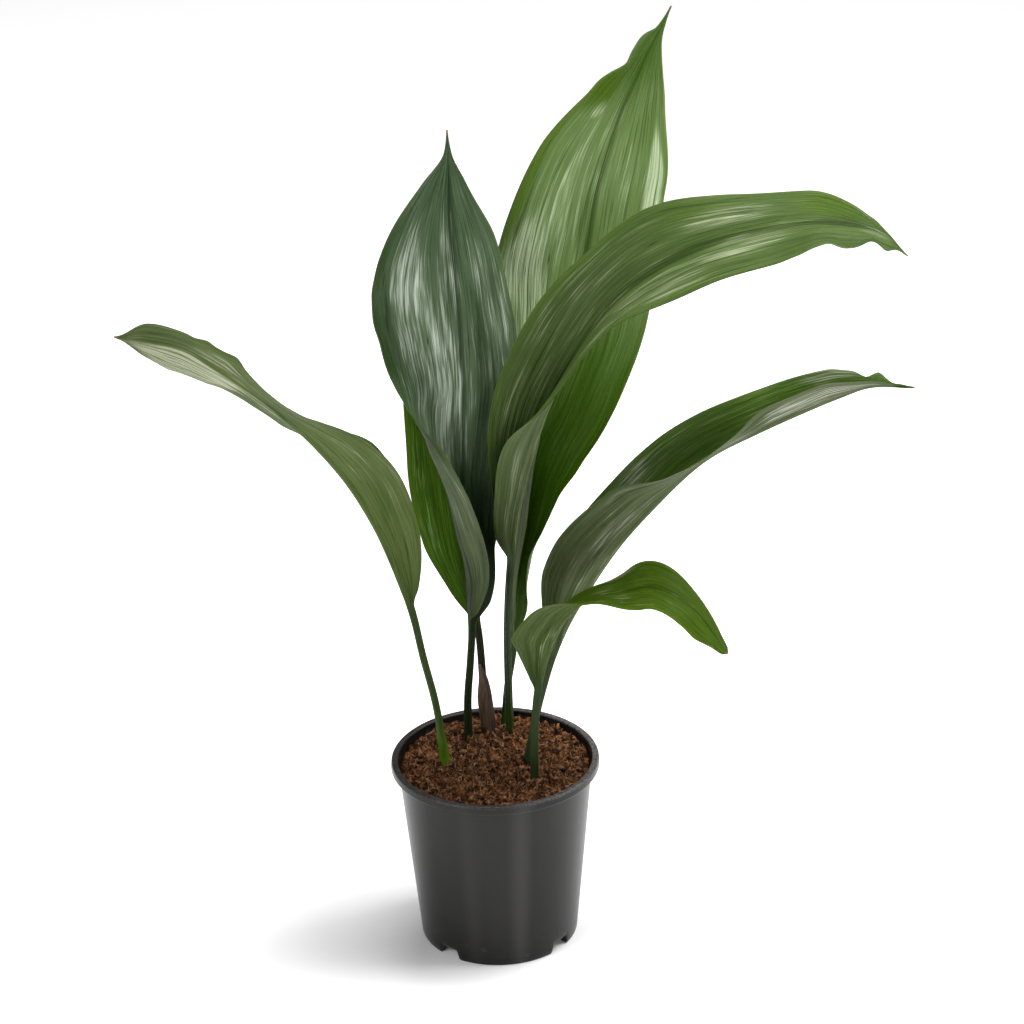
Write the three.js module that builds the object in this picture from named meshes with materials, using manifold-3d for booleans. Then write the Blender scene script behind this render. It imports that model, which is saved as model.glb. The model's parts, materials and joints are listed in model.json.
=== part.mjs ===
// A potted cast iron plant: seven long leaves on stalks that rise from the soil of a nursery pot.
// Millimetres, +Z up, -Y is the front. The origin is on the ground under the middle of the pot.
import * as THREE from 'three';
import { mergeVertices } from 'three/addons/utils/BufferGeometryUtils.js';
import Module from 'manifold-3d';

const wasm = await Module();
wasm.setup();

// Pot
const POT_HEIGHT = 141;
const POT_BASE_RADIUS = 57;
const POT_RIM_RADIUS = 75;
const POT_NECK_RADIUS = 69.6; // outside of the wall just under the lip
const POT_LIP_HEIGHT = 7;
const POT_WALL = 1.6;
const POT_FLOOR = 2;
const POT_SIDES = 48;

// Notches in the foot of the pot, each under a raised pocket of the floor with a drain hole
const NOTCH_AZIMUTHS = [49.5, 139.5, 229.5, 319.5];
const NOTCH_HEIGHT = 7.5;
const NOTCH_HALF_WIDTH = 8.5;
const NOTCH_SLANT = 2; // how much each side leans in towards the top
const NOTCH_CORNER = 1.5;
const NOTCH_INNER_RADIUS = 38;
const DRAIN_RADIUS = 4;
const DRAIN_AT = 46;

// Soil
const SOIL_LEVEL = 133;
const SOIL_MOUND = 2.5;
const SOIL_BUMP = 1.1;
const SOIL_RINGS = 7;
const GAP = 0.3; // left between the soil and the pot
const HOLE_GAP = 0.4; // left between the soil and a stalk

// Leaves
const STALK_RINGS = 7;
const BLADE_RINGS = 24;
const ROOM_RINGS = 4; // rings of a stalk's hole in the soil, enough to pass the surface
const RIB_STRIP = 2.8; // width of the strip beside the midrib that carries the keel
const COLUMN_SHARES = [0, 0.36, 0.7, 1]; // columns from the rib strip out to the edge
const TANGENT_REACH = 0.012; // share of the length that a direction is measured over
const STALK_TOP = 0; // place on a leaf where the stalk ends and the blade begins

// Thickness along a leaf: place, thickness of the skin, depth of the keel under the midrib
const THICKNESS = [
  [-1, 2.6, 2.2],
  [STALK_TOP, 2.2, 2.4],
  [0.12, 0.9, 2],
  [0.5, 0.8, 1.2],
  [1, 0.8, 0.3],
];

// A spine runs from the foot in the soil to the tip, and its point number "neck" ends the stalk.
// A form row is: place, then for the left half and the right half (walking up the leaf) the width
// and the lean in degrees at the midrib and at the edge. A lean of 0 lies in the plane that faces
// the front, 90 points to the front and -90 to the back. Place -1 is the foot, 0 the neck, 1 the tip.
const LEAVES = {
  leaf_left: {
    spine: [[-34, 4, 116], [-41, 2, 181], [-49, 0, 222], [-56, -2, 262], [-65, -4, 293], [-76, -6, 324],
      [-96, -10, 364], [-124, -15, 402], [-153, -18, 431], [-177, -19, 450], [-200, -20, 466], [-221, -20, 472],
      [-244, -20, 476]],
    neck: 3,
    form: [
      [-1, 5, -150, -125, 5, 186, 211],
      [-0.6, 2.8, -160, -160, 2.8, 200, 200],
      [0, 2.8, -180, -180, 2.8, 235, 235],
      [0.05, 11, -190, -192, 11, 285, 290],
      [0.12, 21, -193, -195, 20, 318, 322],
      [0.22, 31, -195, -200, 30, 324, 326],
      [0.36, 40, -200, -208, 34, 318, 318],
      [0.44, 41, -208, -216, 32, 275, 285],
      [0.5, 39.5, -218, -226, 29, 245, 248],
      [0.54, 38.5, -228, -233, 28, 237, 241],
      [0.58, 33.5, -236, -238, 27.5, 235, 239],
      [0.62, 27.5, -237, -240, 27, 233, 236],
      [0.66, 26, -236, -238, 25.5, 231, 233],
      [0.72, 24.5, -226, -228, 23.5, 226, 226],
      [0.76, 25.5, -219, -221, 24, 220, 218],
      [0.86, 22, -220, -222, 24, 208, 206],
      [0.93, 19, -217, -217, 16, 210, 206],
      [1, 0.8, -214, -214, 0.8, 205, 205],
    ],
    ripple: { height: 0, waves: 4, start: 0 },
    color: 0x4f7034,
  },
  leaf_front: {
    spine: [[-19, 39, 116], [-19, 38, 165], [-16, 36, 199], [-14, 34, 228], [-15, 32, 265], [-18, 27, 344],
      [-16, 25, 413], [-18, 26, 478], [-21, 30, 533], [-20, 34, 580], [-20, 35, 595]],
    neck: 3,
    form: [
      [-1, 3.4, 38, 38, 3.4, -2, -2],
      [0, 2.8, 48, 48, 2.8, -12, -12],
      [0.05, 15, 65, 165, 15, -10, -14],
      [0.1, 26, 68, 180, 19.5, -10, -18],
      [0.16, 35, 58, 190, 21, -12, -22],
      [0.22, 41, 42, 193, 24, -15, -25],
      [0.31, 44, 24, 180, 29.5, -20, -25],
      [0.36, 50, 6, 173, 34, -20, -25],
      [0.42, 57, -16, 160, 38, -18, -25],
      [0.46, 56, -30, 128, 40, -8, -28],
      [0.5, 50.5, -36, 78, 42.5, 0, -30],
      [0.6, 53.5, -5, 5, 45, -15, -40],
      [0.66, 57, 4, 1, 42, -15, -40],
      [0.7, 56.5, 5, 0, 40, -15, -40],
      [0.75, 52, 5, 0, 36.5, -13, -36],
      [0.8, 43.5, 5, 0, 31.5, -10, -30],
      [0.9, 17.5, 5, 0, 13, -10, -20],
      [0.96, 2.4, 0, 0, 2.4, 0, 0],
      [1, 0.6, 0, 0, 0.6, 0, 0],
    ],
    ripple: { height: 0, waves: 1, start: 0 },
    color: 0x2c4a33,
  },
  leaf_rear_left: {
    spine: [[-5, 52, 116], [-7, 54, 165], [-10, 58, 216], [-16, 60, 243], [-23, 64, 313], [-24, 67, 358],
      [-25, 70, 403], [-25, 73, 454], [-25, 75, 497]],
    neck: 2,
    form: [
      [-1, 3.4, 18, 18, 3.4, 18, 18],
      [0, 2.8, 18, 18, 2.8, 18, 18],
      [0.12, 14, 10, 10, 14, 10, 10],
      [0.25, 27, 10, 0, 27, 10, 0],
      [0.45, 33, 5, -10, 33, 5, -10],
      [0.6, 33, 5, -5, 33, 5, -5],
      [0.8, 22, 0, 0, 22, 0, 0],
      [1, 0.8, 0, 0, 0.8, 0, 0],
    ],
    ripple: { height: 0, waves: 1, start: 0 },
    color: 0x355e12,
  },
  leaf_arching: {
    spine: [[12, 45, 116], [11, 44, 169], [11, 42, 227], [14, 38, 273], [23, 31, 330], [41, 20, 396],
      [60, 12, 437], [91, 4, 484], [132, -4, 515], [180, -12, 533], [226, -18, 540], [261, -22, 534],
      [280, -24, 518]],
    neck: 3,
    form: [
      [-1, 3.6, -32, -32, 3.6, 68, 68],
      [0, 2.8, -59, -59, 2.8, 95, 95],
      [0.06, 11, -8, 5, 15, 128, 175],
      [0.15, 23, 8, 18, 26, 120, 165],
      [0.25, 36, 12, 10, 38, 118, 136],
      [0.35, 41, 8, 0, 42, 106, 102],
      [0.42, 41, -10, -22, 42, 100, 99],
      [0.5, 42, -28, -48, 41, 90, 88],
      [0.6, 47, -42, -58, 41, 81, 76],
      [0.7, 40, -55, -65, 41, 77, 71],
      [0.78, 34, -59, -65, 37, 75, 63],
      [0.82, 30.5, -60, -65, 33, 78, 67],
      [0.85, 28, -60, -65, 29, 83, 73],
      [0.9, 17.5, -60, -62, 24, 78, 63],
      [0.95, 4.5, -60, -60, 15.5, 78, 66],
      [1, 0.6, -60, -60, 0.6, 80, 80],
    ],
    ripple: { height: 2.5, waves: 4, start: 0.2 },
    color: 0x42602f,
  },
  leaf_tall: {
    spine: [[6, 55, 116], [10, 60, 161], [16, 62, 201], [14, 64, 247], [17, 66, 282], [29, 71, 351],
      [42, 73, 384], [63, 76, 454], [71, 77, 493], [80, 78, 540], [94, 79, 583], [111, 80, 622],
      [126, 80, 651], [132, 80, 663]],
    neck: 2,
    form: [
      [-1, 5, 30, 5, 5, 6, -18],
      [-0.6, 2.8, 43, 43, 2.8, -7, -7],
      [0, 2.8, 53, 53, 2.8, -17, -17],
      [0.05, 9, 104, 106, 12, -10, 45],
      [0.1, 15, 108, 109, 22, -5, 108],
      [0.15, 19.5, 107, 109, 30, -5, 128],
      [0.2, 24.5, 105, 109, 32, -3, 95],
      [0.25, 29.5, 101, 104, 33, 0, 60],
      [0.3, 33, 97, 100, 40, 0, 29],
      [0.36, 38, 88, 92, 45, 4, 12],
      [0.42, 43, 52, 36, 50, 6, 1],
      [0.52, 53, 15, 10, 54, 5, -5],
      [0.6, 59, 5, 0, 52, 5, -5],
      [0.75, 45.5, 5, 0, 47.5, 5, -10],
      [0.87, 19.5, 5, 0, 26.5, 0, -10],
      [0.91, 11, 3, 0, 16, 0, -5],
      [0.93, 9, 1, 0, 10.5, 0, -2],
      [0.95, 6.2, 0, 0, 5.4, 0, 0],
      [0.965, 2.4, 0, 0, 3, 0, 0],
      [1, 0.6, 0, 0, 0.6, 0, 0],
    ],
    ripple: { height: 0, waves: 1, start: 0 },
    color: 0x46702a,
  },
  leaf_side: {
    spine: [[22, -2, 116], [28, 0, 164], [35, 4, 193], [43, 6, 219], [54, 8, 243], [84, 8, 293],
      [107, 7, 322], [149, 3, 365], [185, 0, 386], [211, -2, 399], [240, -4, 412], [261, -5, 419],
      [291, -6, 418]],
    neck: 3,
    form: [
      [-1, 6.5, -10, -35, 6.5, 40, 15],
      [-0.6, 3, -42, -42, 3, 78, 78],
      [0, 2.8, -72, -72, 2.8, 108, 108],
      [0.05, 10, -50, -30, 14, 135, 150],
      [0.1, 18, -45, -15, 27, 145, 175],
      [0.17, 28, -42, -12, 39, 147, 182],
      [0.25, 33, -40, -10, 43, 148, 180],
      [0.38, 33, -28, -10, 41, 142, 164],
      [0.49, 32, -18, -20, 34, 122, 120],
      [0.56, 30, -15, -25, 31, 118, 116],
      [0.63, 28.5, -20, -30, 28, 121, 122],
      [0.72, 27, -30, -40, 25, 138, 146],
      [0.82, 22, -30, -40, 23, 146, 150],
      [0.91, 11, -30, -40, 13, 128, 131],
      [1, 0.8, -30, -40, 0.8, 120, 120],
    ],
    ripple: { height: 2, waves: 4, start: 0.5 },
    color: 0x3b5b2c,
  },
  leaf_low: {
    spine: [[28, -22, 116], [28, -22, 164], [31, -24, 205], [37, -26, 231], [45, -28, 253], [54, -30, 269],
      [68, -33, 280], [89, -38, 287], [112, -45, 293], [137, -52, 280], [161, -58, 247]],
    neck: 2,
    form: [
      [-1, 3.6, -115, -115, 3.6, 151, 151],
      [0, 2.8, -115, -115, 2.8, 151, 151],
      [0.05, 8, -106, -106, 8, 158, 158],
      [0.1, 12, -104, -104, 15, 162, 162],
      [0.15, 15, -102, -102, 23, 163, 165],
      [0.2, 18, -100, -100, 31, 159, 163],
      [0.3, 21, -98, -98, 32, 147, 150],
      [0.38, 21, -96, -96, 27, 125, 125],
      [0.45, 22, -91, -93, 14, 92, 92],
      [0.65, 21.5, -65, -65, 21.5, 70, 70],
      [0.85, 12, -66, -66, 20, 62, 58],
      [0.94, 7, -66, -66, 10, 62, 58],
      [1, 0.8, -50, -50, 0.8, 60, 60],
    ],
    ripple: { height: 1.5, waves: 3, start: 0 },
    color: 0x4c7426,
  },
};

// The dry brown sheath stands beside the stalk of the rear left leaf and curls round its front.
const DRY_SHEATH = {
  spine: [[-4, 45.5, 116], [-4, 46, 140], [-6, 48, 160], [-7, 50, 176], [-9, 52, 188]],
  neck: 2,
  form: [
    [-1, 6.5, 10, -45, 6.5, 0, -60],
    [0, 6, 10, -35, 6, 0, -50],
    [0.6, 3.5, 5, -25, 3.5, 5, -30],
    [1, 0.8, 0, 0, 0.8, 0, 0],
  ],
  ripple: { height: 0, waves: 1, start: 0 },
  thickness: [[-1, 0.8, 0], [1, 0.8, 0]],
  stalkRings: 3,
  bladeRings: 6,
  color: 0x6e4a33,
};

// Value at a place between rows of [place, value, value...], without overshoot
function blend(rows, place) {
  const x = THREE.MathUtils.clamp(place, rows[0][0], rows.at(-1)[0]);
  let i = 0;
  while (i < rows.length - 2 && x > rows[i + 1][0]) i += 1;
  const span = rows[i + 1][0] - rows[i][0];
  const u = (x - rows[i][0]) / span;
  return rows[i].slice(1).map((from, k) => {
    const to = rows[i + 1][k + 1];
    const slopeIn = slopeAt(rows, i, k + 1) * span;
    const slopeOut = slopeAt(rows, i + 1, k + 1) * span;
    return (2 * u ** 3 - 3 * u ** 2 + 1) * from + (u ** 3 - 2 * u ** 2 + u) * slopeIn
      + (3 * u ** 2 - 2 * u ** 3) * to + (u ** 3 - u ** 2) * slopeOut;
  });
}

function slopeAt(rows, i, k) {
  if (i === 0 || i === rows.length - 1) return 0;
  const before = (rows[i][k] - rows[i - 1][k]) / (rows[i][0] - rows[i - 1][0]);
  const after = (rows[i + 1][k] - rows[i][k]) / (rows[i + 1][0] - rows[i][0]);
  return before * after > 0 ? (2 * before * after) / (before + after) : 0;
}

// The spine as a curve with a position and a cross frame at each share of its length
function spineOf(leaf) {
  const points = leaf.spine.map((p) => new THREE.Vector3(...p));
  const curve = new THREE.CatmullRomCurve3(points, false, 'centripetal');
  curve.arcLengthDivisions = 400;
  const toNeck = curve.getLengths();
  const neckShare = toNeck[Math.round((400 * leaf.neck) / (points.length - 1))] / toNeck.at(-1);
  return { curve, neckShare };
}

function frameAt(curve, share) {
  const at = curve.getPointAt(share);
  const behind = curve.getPointAt(Math.max(share - TANGENT_REACH, 0));
  const along = curve.getPointAt(Math.min(share + TANGENT_REACH, 1)).sub(behind).normalize();
  const front = new THREE.Vector3(0, -1, 0);
  front.addScaledVector(along, -front.dot(along)).normalize();
  const side = new THREE.Vector3().crossVectors(along, front);
  return { at, along, front, side };
}

// One point of a half blade at share u from the midrib to the edge, with the direction of its upper face
function halfPoint(frame, sign, width, leanRib, leanEdge, u) {
  const start = THREE.MathUtils.degToRad(leanRib);
  const turn = THREE.MathUtils.degToRad(leanEdge - leanRib);
  const lean = start + turn * u;
  const flat = Math.abs(turn) < 0.001;
  const across = flat ? u * Math.cos(start) : (Math.sin(lean) - Math.sin(start)) / turn;
  const forward = flat ? u * Math.sin(start) : (Math.cos(start) - Math.cos(lean)) / turn;
  const point = frame.at.clone()
    .addScaledVector(frame.side, sign * width * across)
    .addScaledVector(frame.front, width * forward);
  const upper = frame.side.clone().multiplyScalar(-sign * Math.sin(lean))
    .addScaledVector(frame.front, Math.cos(lean));
  return { point, upper };
}

// Upper and lower points of one ring, from the left edge over the midrib to the right edge
function leafRing(leaf, curve, neckShare, share, grow) {
  const frame = frameAt(curve, share);
  const place = share < neckShare ? share / neckShare - 1 : (share - neckShare) / (1 - neckShare);
  const [leftWidth, leftRib, leftEdge, rightWidth, rightRib, rightEdge] = blend(leaf.form, place);
  const [skin, keel] = blend(leaf.thickness ?? THICKNESS, place);
  const halves = [
    { sign: -1, width: leftWidth + grow, rib: leftRib, edge: leftEdge, phase: 0.37 },
    { sign: 1, width: rightWidth + grow, rib: rightRib, edge: rightEdge, phase: 0 },
  ];
  const columns = halves.map((half) => {
    const strip = Math.min(0.3, RIB_STRIP / half.width);
    return COLUMN_SHARES.map((c) => strip + (1 - strip) * c).map((u) => {
      const { point, upper } = halfPoint(frame, half.sign, half.width, half.rib, half.edge, u);
      const swell = Math.sin(Math.PI * Math.max(place, 0)) * u ** 2.5;
      const wave = Math.sin(2 * Math.PI * (leaf.ripple.waves * place + leaf.ripple.start + half.phase));
      point.addScaledVector(upper, leaf.ripple.height * swell * wave);
      return { point, upper, depth: skin / 2 + keel * Math.max(0, 1 - (u * half.width / RIB_STRIP) ** 2) };
    });
  });
  const ribUpper = columns[0][0].upper.clone().add(columns[1][0].upper).normalize();
  const rib = { point: frame.at, upper: ribUpper, depth: skin / 2 + keel };
  const row = [...columns[0].reverse(), rib, ...columns[1]];
  return row.map(({ point, upper, depth }) => ({
    top: point.clone().addScaledVector(upper, skin / 2 + grow),
    bottom: point.clone().addScaledVector(upper, -depth - grow),
  }));
}

// A closed solid through rings of top and bottom points, split alike on both faces
function loft(rings) {
  const count = rings[0].length;
  const vertices = rings.flatMap((ring) => ring.flatMap((p) => [...p.top.toArray(), ...p.bottom.toArray()]));
  const top = (i, j) => 2 * (i * count + j);
  const bottom = (i, j) => top(i, j) + 1;
  const faces = [];
  const quad = (a, b, c, d) => faces.push(a, b, c, a, c, d);
  for (let i = 0; i < rings.length - 1; i += 1) {
    for (let j = 0; j < count - 1; j += 1) {
      quad(top(i, j), top(i, j + 1), top(i + 1, j + 1), top(i + 1, j));
      quad(bottom(i + 1, j + 1), bottom(i, j + 1), bottom(i, j), bottom(i + 1, j));
    }
    quad(bottom(i, 0), top(i, 0), top(i + 1, 0), bottom(i + 1, 0));
    quad(top(i, count - 1), bottom(i, count - 1), bottom(i + 1, count - 1), top(i + 1, count - 1));
  }
  const last = rings.length - 1;
  for (let j = 0; j < count - 1; j += 1) {
    quad(bottom(0, j), bottom(0, j + 1), top(0, j + 1), top(0, j));
    quad(top(last, j), top(last, j + 1), bottom(last, j + 1), bottom(last, j));
  }
  const geometry = new THREE.BufferGeometry();
  geometry.setAttribute('position', new THREE.Float32BufferAttribute(vertices, 3));
  geometry.setIndex(faces);
  return geometry;
}

// Where the rings stand, as shares of the length from the foot
function ringShares(neckShare, stalkRings, bladeRings) {
  const stalk = Array.from({ length: stalkRings }, (_, i) => (neckShare * i) / stalkRings);
  const blade = Array.from({ length: bladeRings + 1 }, (_, i) => neckShare + ((1 - neckShare) * i) / bladeRings);
  return [...stalk, ...blade];
}

function leafGeometry(leaf) {
  const { curve, neckShare } = spineOf(leaf);
  const shares = ringShares(neckShare, leaf.stalkRings ?? STALK_RINGS, leaf.bladeRings ?? BLADE_RINGS);
  return loft(shares.map((share) => leafRing(leaf, curve, neckShare, share, 0)));
}

// The room a stalk needs in the soil: its own form grown by the gap, from below the foot to above the soil
function stalkRoom(leaf) {
  const { curve, neckShare } = spineOf(leaf);
  const shares = ringShares(neckShare, leaf.stalkRings ?? STALK_RINGS, leaf.bladeRings ?? BLADE_RINGS);
  const rings = shares.slice(0, ROOM_RINGS).map((share) => leafRing(leaf, curve, neckShare, share, HOLE_GAP));
  const sink = frameAt(curve, 0).along.multiplyScalar(-HOLE_GAP);
  rings[0].forEach((p) => {
    p.top.add(sink);
    p.bottom.add(sink);
  });
  return loft(rings);
}

// Solids for cutting and joining
function toSolid(geometry) {
  const bare = geometry.clone();
  bare.deleteAttribute('normal');
  bare.deleteAttribute('uv');
  const merged = mergeVertices(bare, 1e-4);
  const vertProperties = new Float32Array(merged.attributes.position.array);
  const triVerts = new Uint32Array(merged.index.array);
  return new wasm.Manifold(new wasm.Mesh({ numProp: 3, vertProperties, triVerts }));
}

function fromSolid(solid) {
  const mesh = solid.getMesh();
  const geometry = new THREE.BufferGeometry();
  geometry.setAttribute('position', new THREE.BufferAttribute(new Float32Array(mesh.vertProperties), 3));
  geometry.setIndex(new THREE.BufferAttribute(new Uint32Array(mesh.triVerts), 1));
  return geometry;
}

// A turned body standing on +Z from a profile of [radius, height], which starts and ends on the axis
function turned(profile, sides) {
  const points = profile.map(([r, z]) => new THREE.Vector2(r, z));
  return new THREE.LatheGeometry(points, sides).rotateX(Math.PI / 2);
}

// Outer radius of the pot's wall at a height
function wallRadius(z) {
  const rise = z / (POT_HEIGHT - POT_LIP_HEIGHT);
  return POT_BASE_RADIUS + (POT_NECK_RADIUS - POT_BASE_RADIUS) * rise;
}

// A block over one notch, from an inner to an outer radius, with slanted sides and rounded top corners
function notchBlock(azimuth, from, to, grow) {
  const top = NOTCH_HEIGHT + grow;
  const low = NOTCH_HALF_WIDTH + grow;
  const high = low - NOTCH_SLANT;
  const shape = new THREE.Shape();
  shape.moveTo(-low, -1);
  shape.lineTo(low, -1);
  shape.lineTo(high, top - NOTCH_CORNER);
  shape.quadraticCurveTo(high, top, high - NOTCH_CORNER, top);
  shape.lineTo(NOTCH_CORNER - high, top);
  shape.quadraticCurveTo(-high, top, -high, top - NOTCH_CORNER);
  shape.closePath();
  const block = new THREE.ExtrudeGeometry(shape, { depth: to - from, bevelEnabled: false, curveSegments: 3 });
  block.translate(0, 0, from);
  block.rotateX(Math.PI / 2);
  block.rotateZ(THREE.MathUtils.degToRad(azimuth + 90));
  return toSolid(block);
}

function drainHole(azimuth) {
  const hole = turned([[0, 0], [DRAIN_RADIUS, 0], [DRAIN_RADIUS, NOTCH_HEIGHT * 2], [0, NOTCH_HEIGHT * 2]], 16);
  const angle = THREE.MathUtils.degToRad(azimuth);
  hole.translate(DRAIN_AT * Math.cos(angle), DRAIN_AT * Math.sin(angle), 0);
  return toSolid(hole);
}

function potGeometry() {
  const lip = POT_HEIGHT - POT_LIP_HEIGHT;
  const throat = POT_NECK_RADIUS + 0.2; // inside of the rim above the inner ledge
  const profile = [
    [0, 0],
    [POT_BASE_RADIUS - 1, 0],
    [POT_BASE_RADIUS, 1],
    [POT_NECK_RADIUS, lip],
    [POT_RIM_RADIUS - 1.6, lip],
    [POT_RIM_RADIUS - 0.4, lip + 0.8],
    [POT_RIM_RADIUS, lip + 2.5],
    [POT_RIM_RADIUS - 0.2, lip + 5],
    [POT_RIM_RADIUS - 1.2, POT_HEIGHT - 0.6],
    [POT_RIM_RADIUS - 2.6, POT_HEIGHT],
    [throat + 0.6, POT_HEIGHT - 0.3],
    [throat, POT_HEIGHT - 1],
    [throat - 0.4, lip + 1],
    [POT_NECK_RADIUS - POT_WALL, lip - 1],
    [wallRadius(POT_FLOOR + 3) - POT_WALL, POT_FLOOR + 3],
    [wallRadius(0) - POT_WALL - 2.4, POT_FLOOR],
    [0, POT_FLOOR],
  ];
  let pot = toSolid(turned(profile, POT_SIDES));
  NOTCH_AZIMUTHS.forEach((azimuth) => {
    const reach = wallRadius(NOTCH_HEIGHT) - POT_WALL / 2;
    const pocket = notchBlock(azimuth, NOTCH_INNER_RADIUS - POT_WALL, reach, POT_WALL);
    pot = pot.add(pocket.trimByPlane([0, 0, 1], 0.5));
  });
  NOTCH_AZIMUTHS.forEach((azimuth) => {
    pot = pot.subtract(notchBlock(azimuth, NOTCH_INNER_RADIUS, POT_RIM_RADIUS, 0));
    pot = pot.subtract(drainHole(azimuth));
  });
  return fromSolid(pot);
}

function soilHeight(x, y) {
  const spread = Math.hypot(x, y) / POT_NECK_RADIUS;
  const bumps = Math.sin(0.23 * x + 1.3) * Math.cos(0.19 * y + 0.4) + 0.6 * Math.sin(0.41 * x - 0.37 * y);
  return SOIL_LEVEL + SOIL_MOUND * (1 - spread ** 2) + SOIL_BUMP * bumps;
}

// The soil fills the pot, with an uneven top and a plain hole for each stalk
function soilGeometry() {
  const inner = (z) => wallRadius(z) - POT_WALL - GAP;
  const floor = POT_FLOOR + GAP;
  const topRadius = inner(SOIL_LEVEL);
  const profile = [[0, floor], [inner(0) - 2.6, floor], [inner(POT_FLOOR + 3), POT_FLOOR + 3], [topRadius, SOIL_LEVEL]];
  for (let k = SOIL_RINGS; k >= 0; k -= 1) profile.push([(topRadius * 0.98 * k) / SOIL_RINGS, SOIL_LEVEL]);
  const body = turned(profile, POT_SIDES);
  const position = body.attributes.position;
  for (let i = 0; i < position.count; i += 1) {
    if (position.getZ(i) > SOIL_LEVEL - 0.5) position.setZ(i, soilHeight(position.getX(i), position.getY(i)));
  }
  let soil = toSolid(body);
  NOTCH_AZIMUTHS.forEach((azimuth) => {
    const from = NOTCH_INNER_RADIUS - POT_WALL - GAP;
    soil = soil.subtract(notchBlock(azimuth, from, POT_RIM_RADIUS, POT_WALL + GAP));
  });
  [...Object.values(LEAVES), DRY_SHEATH].forEach((leaf) => {
    soil = soil.subtract(toSolid(stalkRoom(leaf)));
  });
  return fromSolid(soil);
}

function piece(name, geometry, color, roughness) {
  geometry.computeVertexNormals();
  const mesh = new THREE.Mesh(geometry, new THREE.MeshStandardMaterial({ color, roughness, metalness: 0 }));
  mesh.name = name;
  return mesh;
}

const plant = new THREE.Group();
plant.add(piece('pot', potGeometry(), 0x3b3a38, 0.45));
plant.add(piece('soil', soilGeometry(), 0x4a2f20, 0.95));
Object.entries(LEAVES).forEach(([name, leaf]) => {
  plant.add(piece(name, leafGeometry(leaf), leaf.color, 0.4));
});
plant.add(piece('dry_sheath', leafGeometry(DRY_SHEATH), DRY_SHEATH.color, 0.85));

export default plant;
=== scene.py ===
"""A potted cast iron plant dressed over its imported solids: finer leaves, pot, soil and a studio stage."""
import json
from math import cos, hypot, pi, radians, sin

import bmesh
import bpy
import numpy as np
from bpy.props import FloatProperty, FloatVectorProperty, IntProperty, PointerProperty
from mathutils import Euler, Matrix, Vector, noise

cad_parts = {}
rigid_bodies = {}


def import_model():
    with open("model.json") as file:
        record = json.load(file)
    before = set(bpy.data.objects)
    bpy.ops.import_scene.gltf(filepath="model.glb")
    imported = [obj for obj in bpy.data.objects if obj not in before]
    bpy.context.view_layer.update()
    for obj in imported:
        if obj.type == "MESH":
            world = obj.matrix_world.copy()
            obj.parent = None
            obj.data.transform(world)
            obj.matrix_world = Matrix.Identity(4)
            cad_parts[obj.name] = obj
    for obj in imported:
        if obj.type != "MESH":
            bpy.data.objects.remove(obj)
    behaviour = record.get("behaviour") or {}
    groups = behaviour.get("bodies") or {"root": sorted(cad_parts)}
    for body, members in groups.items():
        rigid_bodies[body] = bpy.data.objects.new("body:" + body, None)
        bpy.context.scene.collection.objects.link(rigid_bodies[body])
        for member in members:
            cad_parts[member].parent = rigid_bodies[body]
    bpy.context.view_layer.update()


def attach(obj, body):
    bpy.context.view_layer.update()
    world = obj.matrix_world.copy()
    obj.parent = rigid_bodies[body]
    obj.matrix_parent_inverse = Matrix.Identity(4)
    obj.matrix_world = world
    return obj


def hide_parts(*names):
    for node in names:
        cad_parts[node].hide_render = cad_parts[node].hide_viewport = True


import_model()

bl_info = {
    "name": "Potted cast iron plant",
    "version": (1, 0, 0),
    "blender": (4, 5, 0),
    "location": "View3D > Sidebar > Plant",
    "description": "Builds the leaves, pot, soil and studio stage of a potted cast iron plant",
    "category": "Add Mesh",
}

BODY = "root"
MM = 0.001

# Pot, in millimetres, with its outside wall, lip and notched foot as in the solids
POT_HEIGHT = 141
POT_NECK_RADIUS = 69.6
POT_BASE_RADIUS = 57
POT_RIM_RADIUS = 75
POT_LIP_HEIGHT = 7
POT_WALL = 1.6
LIP_BEAD = 1.5
LIP_CROWN = 1.9
LIP_MOUTH = 0.9
LIP_SET_BACK = 0.3
POT_FLOOR = 2
NOTCH_AZIMUTHS = (49.5, 139.5, 229.5, 319.5)
NOTCH_HEIGHT = 7.5
NOTCH_HALF_WIDTH = 8.5
NOTCH_SLANT = 2
NOTCH_INNER_RADIUS = 38
NOTCH_CURVE = 0.6

# Soil, in millimetres
SOIL_LEVEL = 133
SOIL_MOUND = 2.5
SOIL_BUMP = 0.88
SOIL_BOTTOM = 100
SOIL_CLEARANCE = 0.3
SOIL_BANK = 4.5
SOIL_SIDES = 200
SOIL_RINGS = 90

# Noise in the soil's surface: height or depth, layer and scale; a pit starts where its noise passes PIT_START
SOIL_LUMPS = ((2.4, 0, 0.20), (2.2, 9, 0.42))
SOIL_PITS = (6, 4, 0.30)
PIT_START = 0.12

# Loose fibres, in millimetres: the share of long ones, then the ranges of length, arch and thickness
LONG_FIBRE_SHARE = 0.014
LONG_FIBRE = ((13, 24), (2.0, 5.0), (0.28, 0.40))
SHORT_FIBRE = ((2.5, 9), (0.2, 3.0), (0.12, 0.34))
FIBRE_CURL = 2.6
FIBRE_MARGIN = 0.6
FIBRE_LIFT = 0.1

# Crumbs, in millimetres: the share of small ones, the ranges of size, and how each ball is stretched,
# tilted in radians, lifted in parts of its size and roughened
SMALL_CRUMB_SHARE = 0.93
SMALL_CRUMB = (0.4, 1.2)
LARGE_CRUMB = (1.7, 4.2)
CRUMB_STRETCH = ((0.6, 1.7), (0.4, 1.0), (0.25, 0.7))
CRUMB_TILT = (-0.5, 0.5)
CRUMB_LIFT = (0.0, 0.45)
CRUMB_ROUGHNESS = (0.75, 1.2)
SCATTER_MARGIN = 2

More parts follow.
